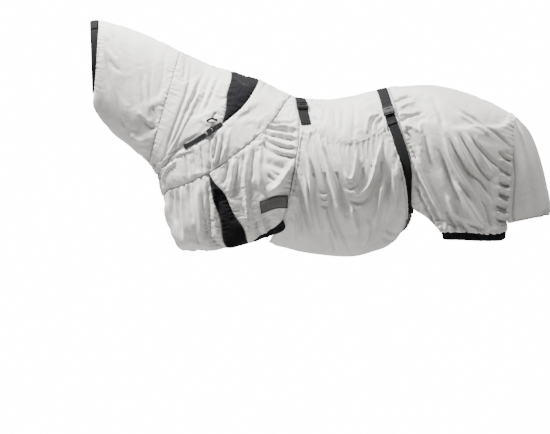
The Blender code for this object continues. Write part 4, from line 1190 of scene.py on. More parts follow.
@dataclass
class DrapedCloth:
    """The cut cloth, draped on the form with its folds, gathers and seams."""
    form: BodyForm
    finishes: Finishes
    groove: float = 0.0022      # how far a seam is drawn in
    noise: float = 0.0016
    spare: float = 0.05         # spare cloth between the seams
    frames: int = 14
    out: float = 0.010          # how far the relaxed cloth may stand out, sink in and slide
    into: float = 0.007
    slide: float = 0.005

    def heights(self, places: Array) -> Array:
        """Height of the folds, in metres, at places of the near side."""
        x, z = places[:, 0], places[:, 2]
        return NECK_RELIEF * fold_height(NECK_FOLDS, x, z) + fold_height(
            [*YOKE_FOLDS, *SHOULDER_FOLDS, *CHEST_FOLDS, *HIND_FOLDS, *SADDLE_FOLDS], x, z)

    def pressed(self, places: Array) -> Array:
        """Finds where straps and the label press the cloth down.

        Args:
            places: places on the near side of the form, (n, 3).

        Returns:
            1 where the cloth is free, down to 0 under straps and the label.
        """
        free = np.ones(len(places))
        for points, closed, half in ((FRONT_STRAP, True, STRAP_PRESS),
                                     (REAR_STRAP, True, STRAP_PRESS),
                                     (NECK_STRAP, False, STRAP_PRESS * .6)):
            line = self.form.point(*smooth_line(points).T, closed)
            distance, _ = to_line(places, line)
            free = np.minimum(free, ease((distance - half * .7) / (half * .6)))
        corners = self.form.point(*np.array(LABEL_CORNERS).T)
        centre = corners.mean(0)
        along = (corners[1] - corners[0] + corners[2] - corners[3])[[0, 2]]
        along /= np.linalg.norm(along)
        spot = (places - centre)[:, [0, 2]]
        beyond = np.maximum(np.abs(spot @ along) - LABEL_LENGTH / 2,
                            np.abs(spot @ np.array((-along[1], along[0]))) - LABEL_HEIGHT / 2)
        return np.minimum(free, ease(beyond / .018))

    def under_flap(self, s: Array, v: Array) -> Array:
        """1 in the open, 0 where the belly flap lies over the cloth."""
        top = np.interp(s, [p[0] for p in FLAP_TOP], [p[1] for p in FLAP_TOP])
        under = (ease((v - top - .005) / .02) * ease((s - 15.45) / .12) * ease((19.75 - s) / .2))
        return 1 - under

    def build(self) -> list[Piece]:
        """Cuts, drapes, relaxes and finishes the panels of both sides, and returns them."""
        cloth = PatternCloth(self.form)
        s, v = cloth.folded(cloth.vertices)
        base, normals = self.form.point(s, v), self.form.normal(s, v)
        free = self.pressed(base) * self.under_flap(s, v)
        start = base + normals * (self.heights(base) * free)[:, None]
        used = np.unique(cloth.faces)
        moved = np.zeros_like(base)
        number = np.full(len(base), -1)
        number[used] = np.arange(len(used))
        held = np.union1d(cloth.sewn, np.flatnonzero(free < .3))
        pins = number[held[np.isin(held, used)]]
        moved[used] = relax(start[used], number[cloth.faces], pins, self.spare, self.frames)
        moved = hold_back(moved, normals, self.out, self.into, self.slide)
        moved *= free[:, None]
        moved *= (.35 + .65 * ease((s - 4) / 2))[:, None]     # the neck is drawn smooth
        flat, faces, owner, moved = cloth.refined(moved)
        s, v = cloth.folded(flat)
        base, normals = self.form.point(s, v), self.form.normal(s, v)
        free = self.pressed(base) * self.under_flap(s, v)
        gathers, lip, near_seam = self.gathered(base, s, v, faces, owner)
        height = self.heights(base)
        height += self.noise * (lattice_noise(flat[:, 0] / .045, flat[:, 1] / .16, 3)
                                + .5 * lattice_noise(flat[:, 0] / .024, flat[:, 1] / .07, 5))
        settle = 1 - .7 * bump(near_seam, 0, .011)
        height = height * settle * free + gathers * (.25 + .75 * free)
        height -= self.groove * bump(near_seam, 0, .0045)
        places = base + normals * height[:, None] + moved + lip
        places[:, 1] = np.minimum(places[:, 1], np.where(base[:, 1] > -1e-6, 0, -1e-4))
        # Painted shade along every stitched seam, darkest on its line.
        painted_seam_shade = .75 * bump(near_seam, 0, .0035)
        return self.cut_out(places, normals, faces, owner, flat, painted_seam_shade)

    def gathered(self, base: Array, s: Array, v: Array, faces: Array,
                 owner: Array) -> tuple[Array, Array, Array]:
        """Draws the panels up along their seams.

        Args:
            base: the refined cloth's places on the form, (n, 3).
            s: their section lines.
            v: their places down the side.
            faces: the cloth's triangles.
            owner: the number of each triangle's panel.

        Returns:
            The gathers' height, how far the hind hem hangs, and the distance to a seam.
        """
        near_seam = np.full(len(base), np.inf)
        member = {name: np.zeros(len(base), bool) for name in PANELS}
        for number, name in enumerate(PANELS):
            member[name][np.unique(faces[owner == number])] = True
        gathers, lip = np.zeros(len(base)), np.zeros((len(base), 3))
        for name, seam in SEAMS.items():
            distance, along = to_line(base, self.form.point(*smooth_line(seam, 10).T))
            if name not in PLAIN_EDGES:
                near_seam = np.minimum(near_seam, distance)
            for index, gather in enumerate(GATHERS):
                if gather.seam != name:
                    continue
                here = member[gather.panel]
                wave = pucker_wave(along, gather.pitch * PITCH_STRETCH / 1000, index)
                size = (gather.height * GATHER_RELIEF / 1000 * (1 - np.exp(-distance / .004))
                        * np.exp(-(distance / (gather.reach / 1000))**1.3))
                if name == "underline":     # the chest hem, without the neck in front of it
                    size = size * ease((s - 10.3) / .7)
                gathers += np.where(here, size * wave, 0)
                if name == "hind_hem" and gather.panel == "hindquarter":
                    # The panel puffs out and hangs over its elastic band.
                    gathers += np.where(here, .008 * bump(distance, .017, .014), 0)
                    hang = bump(distance, .008, .0065) * (.65 + .6 * wave)
                    lip[:, 2] -= np.where(here, .009 * hang, 0)
        # The withers gusset is shirred on its spine edge, so its pleats run down it.
        ahead, behind = (np.interp(v, [q[1] for q in SEAMS[name]], [q[0] for q in SEAMS[name]])
                         for name in ("collar_upper", "gusset_rear"))
        share = (s - ahead) / np.maximum(behind - ahead, .05)
        pleats = .0042 * pucker_wave(share * 10 + 1.5 * v, 1.0, 9)
        pleats *= 1 - np.exp(-near_seam / .006)
        gathers += np.where(member["withers_gusset"], pleats, 0)
        return gathers, lip, near_seam

    def cut_out(self, places: Array, normals: Array, faces: Array,
                owner: Array, flat: Array, painted_seam_shade: Array) -> list[Piece]:
        """Makes each panel's own piece, on the near side and mirrored on the off side.

        Args:
            places: the finished cloth's places, (n, 3).
            normals: the form's normals there.
            faces: the cloth's triangles.
            owner: the number of each triangle's panel.
            flat: places in the flat cloth.
            painted_seam_shade: how dark each place is along a seam.

        Returns:
            The panels.
        """
        panels = []
        for number, (name, panel) in enumerate(PANELS.items()):
            used, own = np.unique(faces[owner == number], return_inverse=True)
            own, p = own.reshape(-1, 3), places[used]
            a, b, c = own[0]
            outward = np.dot(np.cross(p[b] - p[a], p[c] - p[a]), normals[used][a])
            for side in Side:
                mirrored = side is Side.OFF
                turn = (outward < 0) != mirrored
                piece = make_piece(f"{name}_{side.value}_cloth",
                                   p * ((1, -1, 1) if mirrored else (1, 1, 1)),
                                   own[:, ::-1] if turn else own,
                                   self.finishes.for_panel(panel.slot), flat[used],
                                   {"painted_seam_shade": painted_seam_shade[used]})
                give_wall(piece, CLOTH_WALL)
                put_on(piece, "rug", f"{name}_{side.value}")
                sewn_to = panel.sewn_to
                if sewn_to in PANELS:
                    sewn_to = f"{sewn_to}_{side.value}_cloth"
                panels.append(piece)
        return panels


# ---------------------------------------------------------------- belly flap
@dataclass
class BellyFlap:
    """One sheet from the near side's buckles down, under the belly, up to the off side."""
    form: BodyForm
    finishes: Finishes
    rows: int = 108             # before it is refined
    columns: int = 64
    spare: float = 0.045
    frames: int = 16
    hang: float = 0.010         # how far it sags under the belly
    tuck: float = 0.010         # how far its front edge is tucked in
    fold_relief: float = 1.25
    strap_bulge: float = 0.0105
    cut: tuple = (.66, 1.38)    # flat, with what the gathers take up
    area: float = 0.82

    def layout(self, rows: int, columns: int) -> tuple[Array, Array]:
        """Lays a grid over the flap, from its top edge round to the off side's seam.

        Args:
            rows: points down the flap.
            columns: points across it.

        Returns:
            s and a of each point.
        """
        top = smooth_line(FLAP_TOP, 8).T
        front, rear = smooth_line(FLAP_FRONT, 8).T, smooth_line(FLAP_REAR, 8).T
        t, u = np.linspace(0, 1, rows)[:, None], np.linspace(0, 1, columns)[None, :]
        s = np.broadcast_to(15.5 + 4.6 * u, (rows, columns))
        for _ in range(8):
            high = np.interp(s, top[0], top[1])
            low = 2 - self.form.v_at_depth(s, -FLAP_SEAM_DEPTH)
            a = high + (low - high) * t
            v = np.minimum(a, 2 - a)
            start, end = np.interp(v, front[1], front[0]), np.interp(v, rear[1], rear[0])
            end = end + .22 * ease((a - 1.1) / .15)     # no strap fills its place on the off side
            s = start + (end - start) * u
        return s, a

    def shape(self, rows: int, columns: int,
              fine: bool) -> tuple[Array, Array, Array]:
        """Shapes a grid over the flap.

        Args:
            rows: points down the flap.
            columns: points across it.
            fine: adds gathers, the stitched hem and its painted shade.

        Returns:
            Places, the form's normals and how dark each place is along a seam.
        """
        s, a = self.layout(rows, columns)
        base, normals = self.form.point(s, a, True), self.form.normal(s, a, True)
        down = np.concatenate([np.zeros((1, columns)), np.cumsum(
            np.linalg.norm(np.diff(base, axis=0), axis=2), axis=0)])
        across = np.concatenate([np.zeros((rows, 1)), np.cumsum(
            np.linalg.norm(np.diff(base, axis=1), axis=2), axis=1)], axis=1)
        from_top, from_seam = down, down[-1] - down
        from_front, from_rear = across, across[:, -1:] - across
        rim = np.minimum(np.minimum(from_top, from_front), from_rear)
        lift = FLAP_LIFT * (.45 + .55 * ease(rim / .03)) * (.25 + .75 * ease(from_seam / .05))
        x, z = base[..., 0].ravel(), base[..., 2].ravel()
        folds = self.fold_relief * fold_height(FLAP_FOLDS, x, z).reshape(rows, columns)
        height = folds * (.25 + .75 * ease(rim / .025)) * (.2 + .8 * ease(from_seam / .04))
        height += .0018 * lattice_noise(across / .05, down / .17, 11)
        sag = self.hang * np.maximum(0, -normals[..., 2])**2
        # Its front edge is tucked in behind the shoulder's edge.
        v = np.minimum(a, 2 - a)
        height -= self.tuck * ease((.045 - from_front) / .03) * ease((v - .56) / .07)
        painted_seam_shade = np.zeros_like(height)
        if fine:
            for gap, along, pitch, tall, reach, seed in (
                    (from_top, across, .0175, .0052, .046, 1),
                    (from_front, down, .0135, .0042, .030, 2),
                    (from_rear, down, .0190, .0024, .022, 3),
                    (from_seam, across, .0200, .0024, .030, 4)):
                size = (1 - np.exp(-gap / .004)) * np.exp(-(gap / reach)**1.2)
                wave = pucker_wave(along, PITCH_STRETCH * pitch, seed)
                height += GATHER_RELIEF * tall * size * wave
            height += .0016 * bump(rim, .005, .0035) - .0022 * bump(rim, .0115, .0030)
            # Painted shade in the hem's stitched groove, along the seam where the flap is sewn on,
            # and on its top edge.
            painted_seam_shade = (.6 * bump(rim, .0115, .0026) + .5 * bump(from_seam, 0, .003)
                      + .8 * bump(from_top, 0, .0025))
        # The valleys stay clear of the panel underneath.
        floor = -.0075 - .0225 * ease((v - .43) / .12)
        height = np.where(height < 0, floor * np.tanh(height / floor), height)
        # It bulges over the rear strap, and the front strap's end is sewn on top of it.
        spots = base.reshape(-1, 3)
        rear, _ = to_line(spots, self.form.point(*smooth_line(REAR_STRAP).T, True))
        over = np.exp(-(rear.reshape(rows, columns) / .036)**4) * ease((v - .42) / .06)
        height = np.maximum(height, self.strap_bulge * over - lift)
        front, _ = to_line(spots, self.form.point(*smooth_line(FRONT_STRAP).T, True))
        free = .12 + .88 * ease((front.reshape(rows, columns) - .020) / .026)
        places = base + normals * ((lift + height) * free)[..., None]
        places[..., 2] -= sag
        return places, normals, painted_seam_shade

    def build(self) -> list[Piece]:
        """Builds the flap round the belly and relaxes it.

        Returns:
            The flap, alone in a list.
        """
        moved = np.zeros((self.rows, self.columns, 3))
        places, normals, _ = self.shape(self.rows, self.columns, False)
        number = np.arange(places[..., 0].size).reshape(self.rows, self.columns)
        held = np.concatenate([number[0], number[-1], number[::2, 0], number[::2, -1]])
        moved = relax(places.reshape(-1, 3), grid_faces(self.rows, self.columns),
                      np.unique(held), self.spare, self.frames)
        moved = hold_back(moved, normals.reshape(-1, 3), .011, .008, .006)
        moved = moved.reshape(self.rows, self.columns, 3)
        rows, columns = 2 * self.rows - 1, 2 * self.columns - 1
        moved = read_rows(moved.reshape(self.rows, -1), np.arange(rows) / 2)
        moved = moved.reshape(rows, self.columns, 3).transpose(1, 0, 2).reshape(self.columns, -1)
        moved = read_rows(moved, np.arange(columns) / 2).reshape(columns, rows, 3)
        moved = moved.transpose(1, 0, 2)
        places, _, painted_seam_shade = self.shape(rows, columns, True)
        s, a = self.layout(rows, columns)
        places = places + moved * ease(np.minimum(a - a[0], 1) / .02)[..., None]
        flat = np.stack([places[..., 0], a * 1.2], -1)
        flap = make_piece("belly_flap_cloth", places.reshape(-1, 3), grid_faces(rows, columns),
                          self.finishes.silver, flat.reshape(-1, 2),
                          {"painted_seam_shade": painted_seam_shade.ravel()})
        give_wall(flap, CLOTH_WALL)
        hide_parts("belly_flap_side", "belly_flap_under")
        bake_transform(flap)
        return [flap]


# ---------------------------------------------------------------- tail flap
@dataclass
class TailFlap:
    """The flap that hangs from the dock over the tail."""
    form: BodyForm
    finishes: Finishes
    rows: int = 90
    columns: int = 97
    length: float = 0.50
    cut: tuple = (.58, .54)
    area: float = 0.20

    def build(self) -> list[Piece]:
        """Lofts the flap through its rows, with soft vertical folds and a turned hem.

        Returns:
            The flap, alone in a list.
        """
        dock = self.form.point(LAST, 0)
        table = np.array([[*centre, *edge, width] for centre, edge, width in TAIL_ROWS])
        lines = read_rows(table, np.linspace(0, len(table) - 1, self.rows))
        u = np.linspace(-1, 1, self.columns)[None, :]
        back = np.maximum(np.cos(math.pi * u / 2), 0)**.8
        x = lines[:, 2:3] + (lines[:, 0:1] - lines[:, 2:3]) * back
        z = lines[:, 3:4] + (lines[:, 1:2] - lines[:, 3:4]) * back
        y = lines[:, 4:5] * np.sin(math.pi * u / 2)
        places = dock + np.stack([TAIL_FLAP_GAP + x, y, z], -1)
        normals = np.cross(np.gradient(places, axis=0), np.gradient(places, axis=1))
        normals /= np.maximum(np.linalg.norm(normals, axis=2, keepdims=True), 1e-9)
        normals *= np.sign((normals * (1, 0, 0)).sum()) or 1
        t = np.linspace(0, 1, self.rows)[:, None]
        across = u * .24
        free = ease(t / .25)
        height = free * (.0045 * np.sin(across / .0200 + 1.2 * t) * np.exp(-(u / .9)**4)
                         + .0030 * np.sin(across / .0115 - 2.5 * t + 1)
                         + .0025 * lattice_noise(across / .04 + 5, t * 3.5, 21))
        height += (1 - free) * .0016 * pucker_wave(across, .013, 7)
        rim = np.minimum((1 - t) * self.length + 0 * u, (1 - np.abs(u)) * .18 + 0 * t)
        height += .0012 * bump(rim, .005, .0035) - .0018 * bump(rim, .012, .003)
        # Painted shade in the hem's stitched groove.
        painted_seam_shade = .6 * bump(rim, .012, .0028)
        places = places + normals * height[..., None]
        flat = np.stack([across + 0 * t, t * .55 + 0 * u], -1)
        piece = make_piece("tail_flap_cloth", places.reshape(-1, 3),
                           grid_faces(self.rows, self.columns), self.finishes.silver,
                           flat.reshape(-1, 2), {"painted_seam_shade": painted_seam_shade.ravel()})
        face_out(piece, Vector((1, 0, 0)))
        give_wall(piece, CLOTH_WALL)
        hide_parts("tail_flap")
        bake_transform(piece)
        return [piece]


# ---------------------------------------------------------------- poll band, label
@dataclass
class PollBand:
    """Shirred elastic round the head opening, with its closing tab."""
    form: BodyForm
    finishes: Finishes
    columns: int = 420
    rows: int = 22

    def build(self) -> list[Piece]:
        """Builds and returns the band and the tab."""
        t, turn = np.linspace(0, 1, self.rows)[:, None], np.arange(self.columns) / self.columns
        a = 2 * turn[None, :]
        s = 1 - t + 0 * a
        base, normals = self.form.point(s, a + 0 * t), self.form.normal(s, a + 0 * t)
        along = a * .62
        cords = .0010 * np.abs(np.sin(math.pi * t * 5))
        shirr = .0011 * pucker_wave(along, .0075, 4) * (.5 + .5 * np.sin(math.pi * t * 5)**2)
        roll = -.0012 * (bump(t, 0, .04) + bump(t, 1, .04))
        places = base + normals * (cords + shirr + roll)[..., None]
        flat = np.stack([along + 0 * t, t * .04 + 0 * a], -1)
        band = make_piece("poll_band_elastic", places.reshape(-1, 3),
                          grid_faces(self.rows, self.columns, True, True), self.finishes.elastic,
                          flat.reshape(-1, 2))
        give_wall(band, .0018)
        put_on(band, "rug", "poll_band")
        tab = self.tab()
        # Cut 40 mm wide at the poll, tapering to 12 mm at the throat.
        return [band, tab]

    def tab(self) -> Piece:
        """Builds and returns the tab that closes the band, with its stitched edge."""
        rows, columns, tall, long = 24, 60, .036, .06
        t, u = unit_grid(rows, columns)
        s, a = .92 - .86 * t, .06 + .15 * u
        base, normals = self.form.point(s, a), self.form.normal(s, a)
        edge = rim_distance(t, u, tall, long)
        height = .0045 + .0008 * ease(edge / .003) - .0007 * bump(edge, .005, .001)
        places = base + normals * height[..., None]
        flat = np.stack([u * long, t * tall], -1)
        tab = make_piece("poll_band_tab_elastic", places.reshape(-1, 3),
                         grid_faces(rows, columns, flip=True), self.finishes.webbing,
                         flat.reshape(-1, 2))
        give_wall(tab, .0016)
        put_on(tab, "rug", "poll_band_tab")
        return tab


@dataclass
class LabelPatch:
    """Blank woven patch on the near shoulder, with a stitched, turned edge."""
    form: BodyForm
    finishes: Finishes
    length: float = LABEL_LENGTH
    height: float = LABEL_HEIGHT

    def build(self) -> list[Piece]:
        """Lays the patch on the form and returns it."""
        rows, columns = 41, 105
        t, u = unit_grid(rows, columns)
        corners = np.array(LABEL_CORNERS)
        place = ((corners[0] * (1 - u[..., None]) + corners[1] * u[..., None]) * (1 - t[..., None])
                 + (corners[3] * (1 - u[..., None]) + corners[2] * u[..., None]) * t[..., None])
        base = self.form.point(place[..., 0], place[..., 1])
        normals = self.form.normal(place[..., 0], place[..., 1])
        edge = rim_distance(t, u, self.height, self.length)
        lift = .0028 + .0010 * ease(edge / .0025) - .0007 * bump(edge, .0055, .0010)
        places = base + normals * lift[..., None]
        flat = np.stack([u * self.length, t * self.height], -1)
        patch = make_piece("label_patch_woven", places.reshape(-1, 3),
                           grid_faces(rows, columns), self.finishes.label,
                           flat.reshape(-1, 2), {"border": ease((.0065 - edge) / .001).ravel()})
        face_out(patch, Vector((0, -1, 0)))
        give_wall(patch, .0020)
        put_on(patch, "rug", "label_patch")
        return [patch]


# ---------------------------------------------------------------- webbing
class Route:
    """A strap's centre line on the form, measured in metres from its upper end."""

    def __init__(self, form: BodyForm, centre: list, closed: bool) -> None:
        """Measures the line through the given places."""
        self.form, self.centre, self.closed = form, centre, closed
        steps = 12 * (len(centre) - 1)
        self.shares = np.linspace(0, len(centre) - 1, steps + 1)
        points = form.point(*read_rows(centre, self.shares).T, closed)
        spans = np.linalg.norm(np.diff(points, axis=0), axis=1)
        self.metres = np.concatenate([[0], np.cumsum(spans)])
        self.length = float(self.metres[-1])

    def at(self, metres: float) -> Array:
        """The (s, v) at a place along the line."""
        return read_rows(self.centre, np.interp(metres, self.metres, self.shares))

    def frame(self, metres: float, lift: float = 0.0) -> Matrix:
        """Finds a strap's own axes at a place on it.

        Args:
            metres: the place along the line.
            lift: height above the form.

        Returns:
            Matrix with x across the strap, y down it and z away from the horse.
        """
        spot = self.at(metres)
        before, after = self.at(metres - .004), self.at(metres + .004)
        ends = [Vector(self.form.point(*p, self.closed)) for p in (before, after)]
        normal = Vector(self.form.normal(*spot, self.closed))
        down = ends[1] - ends[0]
        down = (down - normal * down.dot(normal)).normalized()
        turn = Matrix((down.cross(normal), down, normal)).transposed().to_4x4()
        origin = Vector(self.form.point(*spot, self.closed)) + normal * lift
        return Matrix.Translation(origin) @ turn


@dataclass
class Webbing:
    """Flat webbing along a route, with raised selvedges and a slight crown."""
    name: str
    route: Route
    width: float
    finishes: Finishes

    def build(self, start: float, end: float, lift: Callable, body: str, nodes: list,
              half_turn: float = 0.0) -> Piece:
        """Builds one length of webbing.

        Args:
            start: where it begins on the route, in metres.
            end: where it ends.
            lift: gives the height above the form at metres along the route.
            body: the CAD body that it rides on.
            nodes: the CAD nodes that it stands for.
            half_turn: how far the strap's sides curl down, in metres.

        Returns:
            The webbing.
        """
        count = max(round((end - start) / .005), 6)
        columns = 15
        across = np.linspace(-1, 1, columns)
        selvedge = .00035 * np.exp(-((1 - np.abs(across)) / .07)**2)
        crown = -half_turn * across**2
        rows, flat = [], []
        for metres in np.linspace(start, end, count + 1):
            matrix = self.route.frame(float(metres), float(lift(metres)) + WEBBING)
            rows.append([matrix @ Vector((x * self.width / 2, 0, h))
                         for x, h in zip(across, selvedge + crown)])
            flat.append([(x * self.width / 2, metres) for x in across])
        places = np.array([[tuple(p) for p in row] for row in rows])
        strap = make_piece(self.name, places.reshape(-1, 3), grid_faces(count + 1, columns),
                           self.finishes.webbing,
                           np.array(flat).reshape(-1, 2))
        away = self.route.frame((start + end) / 2).to_3x3() @ Vector((0, 0, 1))
        face_out(strap, away)
        give_wall(strap, WEBBING)
        put_on(strap, body, *nodes)
        return strap


# ---------------------------------------------------------------- hard pieces, as by hand
def new_block(name: str, low: tuple, high: tuple) -> Piece:
    """Adds a box.

    Args:
        name: its name.
        low: its lowest corner.
        high: its highest corner.

    Returns:
        The box, alone selected and active.
    """
    bpy.ops.object.select_all(action="DESELECT")
    centre = [(a + b) / 2 for a, b in zip(low, high)]
    bpy.ops.mesh.primitive_cube_add(size=1, location=centre)
    obj = bpy.context.active_object
    obj.name = obj.data.name = name
    obj.scale = [b - a for a, b in zip(low, high)]
    bpy.ops.object.transform_apply(location=True, rotation=True, scale=True)
    return obj


def deselect_mesh(obj: Piece, kind: str) -> None:
    """Sets an object's selection mode, to EDGE or FACE, and clears what is selected in it."""
    bpy.context.view_layer.objects.active = obj
    bpy.ops.object.mode_set(mode="EDIT")
    bpy.ops.mesh.select_mode(type=kind)
    bpy.ops.mesh.select_all(action="DESELECT")
    bpy.ops.object.mode_set(mode="OBJECT")


def bevel_edges(obj: Piece, chosen: Callable, width: float, segments: int = 3) -> None:
    """Bevels some of an object's edges.

    Args:
        obj: the object.
        chosen: says of an edge, by its direction and middle, whether it is bevelled.
        width: the bevel's width, in metres.
        segments: how many facets it has.
    """
    deselect_mesh(obj, "EDGE")
    mesh = obj.data
    for edge in mesh.edges:
        a, b = (mesh.vertices[i].co for i in edge.vertices)
        edge.select = bool(chosen((b - a).normalized(), (a + b) / 2))
    bpy.ops.object.mode_set(mode="EDIT")
    bpy.ops.mesh.bevel(offset=width, segments=segments, affect="EDGES", clamp_overlap=True)
    bpy.ops.object.mode_set(mode="OBJECT")


def inset_faces(obj: Piece, chosen: Callable, thickness: float, depth: float) -> None:
    """Insets some of an object's faces.

    Args:
        obj: the object.
        chosen: says of a face, by its normal and middle, whether it is inset.
        thickness: the width of the border that stays, in metres.
        depth: how far the face is raised, or sunk where it is negative.
    """
    deselect_mesh(obj, "FACE")
    for face in obj.data.polygons:
        face.select = bool(chosen(face.normal, face.center))
    bpy.ops.object.mode_set(mode="EDIT")
    bpy.ops.mesh.inset(thickness=thickness, depth=depth)
    bpy.ops.object.mode_set(mode="OBJECT")


def merge(obj: Piece, tool: Piece, operation: str) -> None:
    """Cuts a tool from an object, or joins it on.

    Args:
        obj: the object.
        tool: what is cut from it or joined to it, and then removed.
        operation: DIFFERENCE or UNION.
    """
    modifier = obj.modifiers.new("merge", "BOOLEAN")
    modifier.operation, modifier.solver, modifier.object = operation, "EXACT", tool
    bpy.ops.object.select_all(action="DESELECT")
    obj.select_set(True)
    bpy.context.view_layer.objects.active = obj
    bpy.ops.object.modifier_apply(modifier="merge")
    bpy.data.objects.remove(tool)


@dataclass
class SideReleaseBuckle:
    """Moulded side-release buckle for one width of webbing; y runs down the strap."""
    name: str
    webbing: float
    finishes: Finishes
    wall: float = 0.0025
    bar: float = 0.003
    slot: float = 0.005
    clearance: float = 0.0006
    height: float = BUCKLE_HEIGHT

    def __post_init__(self) -> None:
        """Works out the lengths that follow from the webbing."""
        self.half_width = self.webbing / 2 + self.clearance + self.wall
        self.plug_length = 2 * self.bar + self.slot
        self.reach = 0.30 * self.webbing + 0.010
        self.socket_length = self.plug_length + self.reach + 2 * self.wall
        self.mouth = (self.socket_length - self.plug_length) / 2
        self.gap = 0.0010

    def span(self) -> tuple[float, float]:
        """From the buckle's centre up to its upper end and down to its lower end."""
        return self.socket_length - self.mouth, self.mouth + self.gap + self.plug_length

    def socket(self) -> Piece:
        """Body with a waist, side windows, webbing slot, sunk face and grip ribs."""
        w, mouth, tall = self.half_width, self.mouth, self.height
        top = mouth - self.socket_length
        body = new_block(self.name + "_socket_moulding", (-w, top, 0), (w, mouth, tall))
        bevel_edges(body, lambda way, at: abs(way.z) > .9 and at.y < 0, w * .22, 5)
        bevel_edges(body, lambda way, at: abs(way.z) > .9 and at.y > 0, w * .10, 3)
        inset_faces(body, lambda normal, at: normal.z > .9, w * .16, 0)
        inset_faces(body, lambda normal, at: normal.z > .9 and abs(at.x) < w * .1,
                    w * .04, -.0008)
        bevel_edges(body, lambda way, at: abs(way.z) < .3 and (at.z > tall - 1e-5 or at.z < 1e-5)
                    and (abs(at.x) > w * .84 or at.y > mouth - 1e-4 or at.y < top + 1e-4),
                    .0012, 3)
        half_slot = self.webbing / 2 + self.clearance
        merge(body, new_block("slot", (-half_slot, top + self.bar, -.004),
                              (half_slot, top + self.bar + self.slot, tall + .004)), "DIFFERENCE")
        pocket = w - self.wall
        merge(body, new_block("mouth", (-pocket, mouth - self.reach - self.wall, self.wall),
                              (pocket, mouth + .004, tall - self.wall)), "DIFFERENCE")
        window = mouth - self.reach * .80, mouth - self.reach * .22
        merge(body, new_block("windows", (-2 * w, window[0], self.wall * .7),
                              (2 * w, window[1], tall - self.wall * .7)), "DIFFERENCE")
        for k in range(3):
            y = top + self.plug_length + .004 + k * .0034
            if y < mouth - self.reach * .3:
                rib = new_block("rib", (-w * .52, y, tall - .0012),
                                (w * .52, y + .0014, tall + .0003))
                merge(body, rib, "UNION")
        return body

    def plug(self) -> Piece:
        """Two sprung prongs with thumb pads, a guide tongue, and a ladder for the webbing."""
        w, mouth, tall = self.half_width, self.mouth, self.height
        start = mouth + self.gap
        body = new_block(self.name + "_plug_moulding", (-w, start, 0),
                         (w, start + self.plug_length, tall))
        bevel_edges(body, lambda way, at: abs(way.z) > .9 and at.y > start + .004, w * .16, 4)
        bevel_edges(body, lambda way, at: abs(way.x) > .9, .0022, 4)
        half_slot = self.webbing / 2 + self.clearance
        merge(body, new_block("slot", (-half_slot, start + self.bar, -.004),
                              (half_slot, start + self.bar + self.slot, tall + .004)),
              "DIFFERENCE")
        pocket = w - self.wall - self.clearance
        low, high = self.wall + self.clearance, tall - self.wall - self.clearance
        prong = pocket * .26
        for sign in (-1, 1):
            ends = sorted((sign * pocket, sign * (pocket - prong)))
            arm = new_block("prong", (ends[0], mouth - self.reach, low),
                            (ends[1], start + .002, high))
            bevel_edges(arm, lambda way, at: abs(way.z) > .9 and at.y < mouth - .004,
                        prong * .35, 4)
            merge(body, arm, "UNION")
            pad_ends = sorted((sign * (pocket - prong * .5), sign * (w + .0004)))
            pad = new_block("pad", (pad_ends[0], mouth - self.reach * .74, low - .0010),
                            (pad_ends[1], mouth - self.reach * .30, high + .0010))
            bevel_edges(pad, lambda way, at: abs(way.z) > .9, .0016, 3)
            merge(body, pad, "UNION")
        tongue = new_block("tongue", (-pocket * .2, mouth - self.reach * .7, low),
                           (pocket * .2, start + .002, high))
        merge(body, tongue, "UNION")
        return body

    def place(self, obj: Piece, matrix: Matrix, body: str,
              node: str) -> Piece:
        """Dresses a finished moulding and sets it in place.

        Args:
            obj: the moulding, made at the origin.
            matrix: its place.
            body: the CAD body that it rides on.
            node: the CAD node that it stands for.

        Returns:
            The moulding.
        """
        obj.data.transform(matrix)
        obj.data.materials.clear()
        obj.data.materials.append(self.finishes.acetal)
        bpy.ops.object.select_all(action="DESELECT")
        obj.select_set(True)
        bpy.context.view_layer.objects.active = obj
        bpy.ops.object.shade_smooth_by_angle(angle=math.radians(35))
        put_on(obj, body, node)
        return obj


@dataclass
class BuckledStrap:
    """Upper webbing, buckle and lower webbing along one route."""
    name: str
    places: list
    buckle_at: float
    width: float
    closed: bool
    lower_body: str
    form: BodyForm
    finishes: Finishes

    def route(self) -> Route:
        """The strap's centre line."""
        return Route(self.form, self.places, self.closed)

    def build(self) -> list[Piece]:
        """Builds the buckle's two mouldings and the webbing, and returns them."""
        route = self.route()
        buckle = SideReleaseBuckle(self.name + "_buckle", self.width, self.finishes)
        centre = route.length * self.buckle_at
        up, down = buckle.span()
        matrix = route.frame(centre, BUCKLE_LIFT)
        pieces = [buckle.place(buckle.socket(), matrix, "rug", self.name + "_buckle_socket"),
                  buckle.place(buckle.plug(), matrix, self.name + "_buckle_plug",
                               self.name + "_buckle_plug")]
        bar = centre - up + buckle.bar
        rise = BUCKLE_LIFT - STRAP_LIFT

        def upper_lift(metres: float) -> float:
            """Height of the upper webbing, which climbs to the socket's bar."""
            return STRAP_LIFT + rise * 1.2 * float(ease(np.array((metres - bar + .022) / .022)))

        def fold_lift(metres: float) -> float:
            """Height of the turned-back end, which lies on the upper webbing."""
            return upper_lift(metres) + WEBBING * 1.1

        def lower_lift(metres: float) -> float:
            """Height of the lower webbing, which comes down from the plug."""
            return STRAP_LIFT + rise * 1.2 * float(ease(np.array((edge + .018 - metres) / .018)))

        edge = centre + down
        turned = min(.045 if self.closed else .022, bar * .6)
        for part, start, end, lift, body, nodes, curl in (
                ("upper_webbing", 0, bar + buckle.slot * .6, upper_lift, "rug",
                 [self.name + "_strap_upper"], 0),
                ("turned_end", bar - turned, bar + buckle.slot * .5, fold_lift, "rug", [], 0),
                ("lower_webbing", edge + .0010, route.length, lower_lift, self.lower_body,
                 [self.name + "_strap_lower"], .0012 if self.closed else 0)):
            webbing = Webbing(f"{self.name}_strap_{part}", route, self.width, self.finishes)
            pieces.append(webbing.build(start, end, lift, body, nodes, curl))
        return pieces


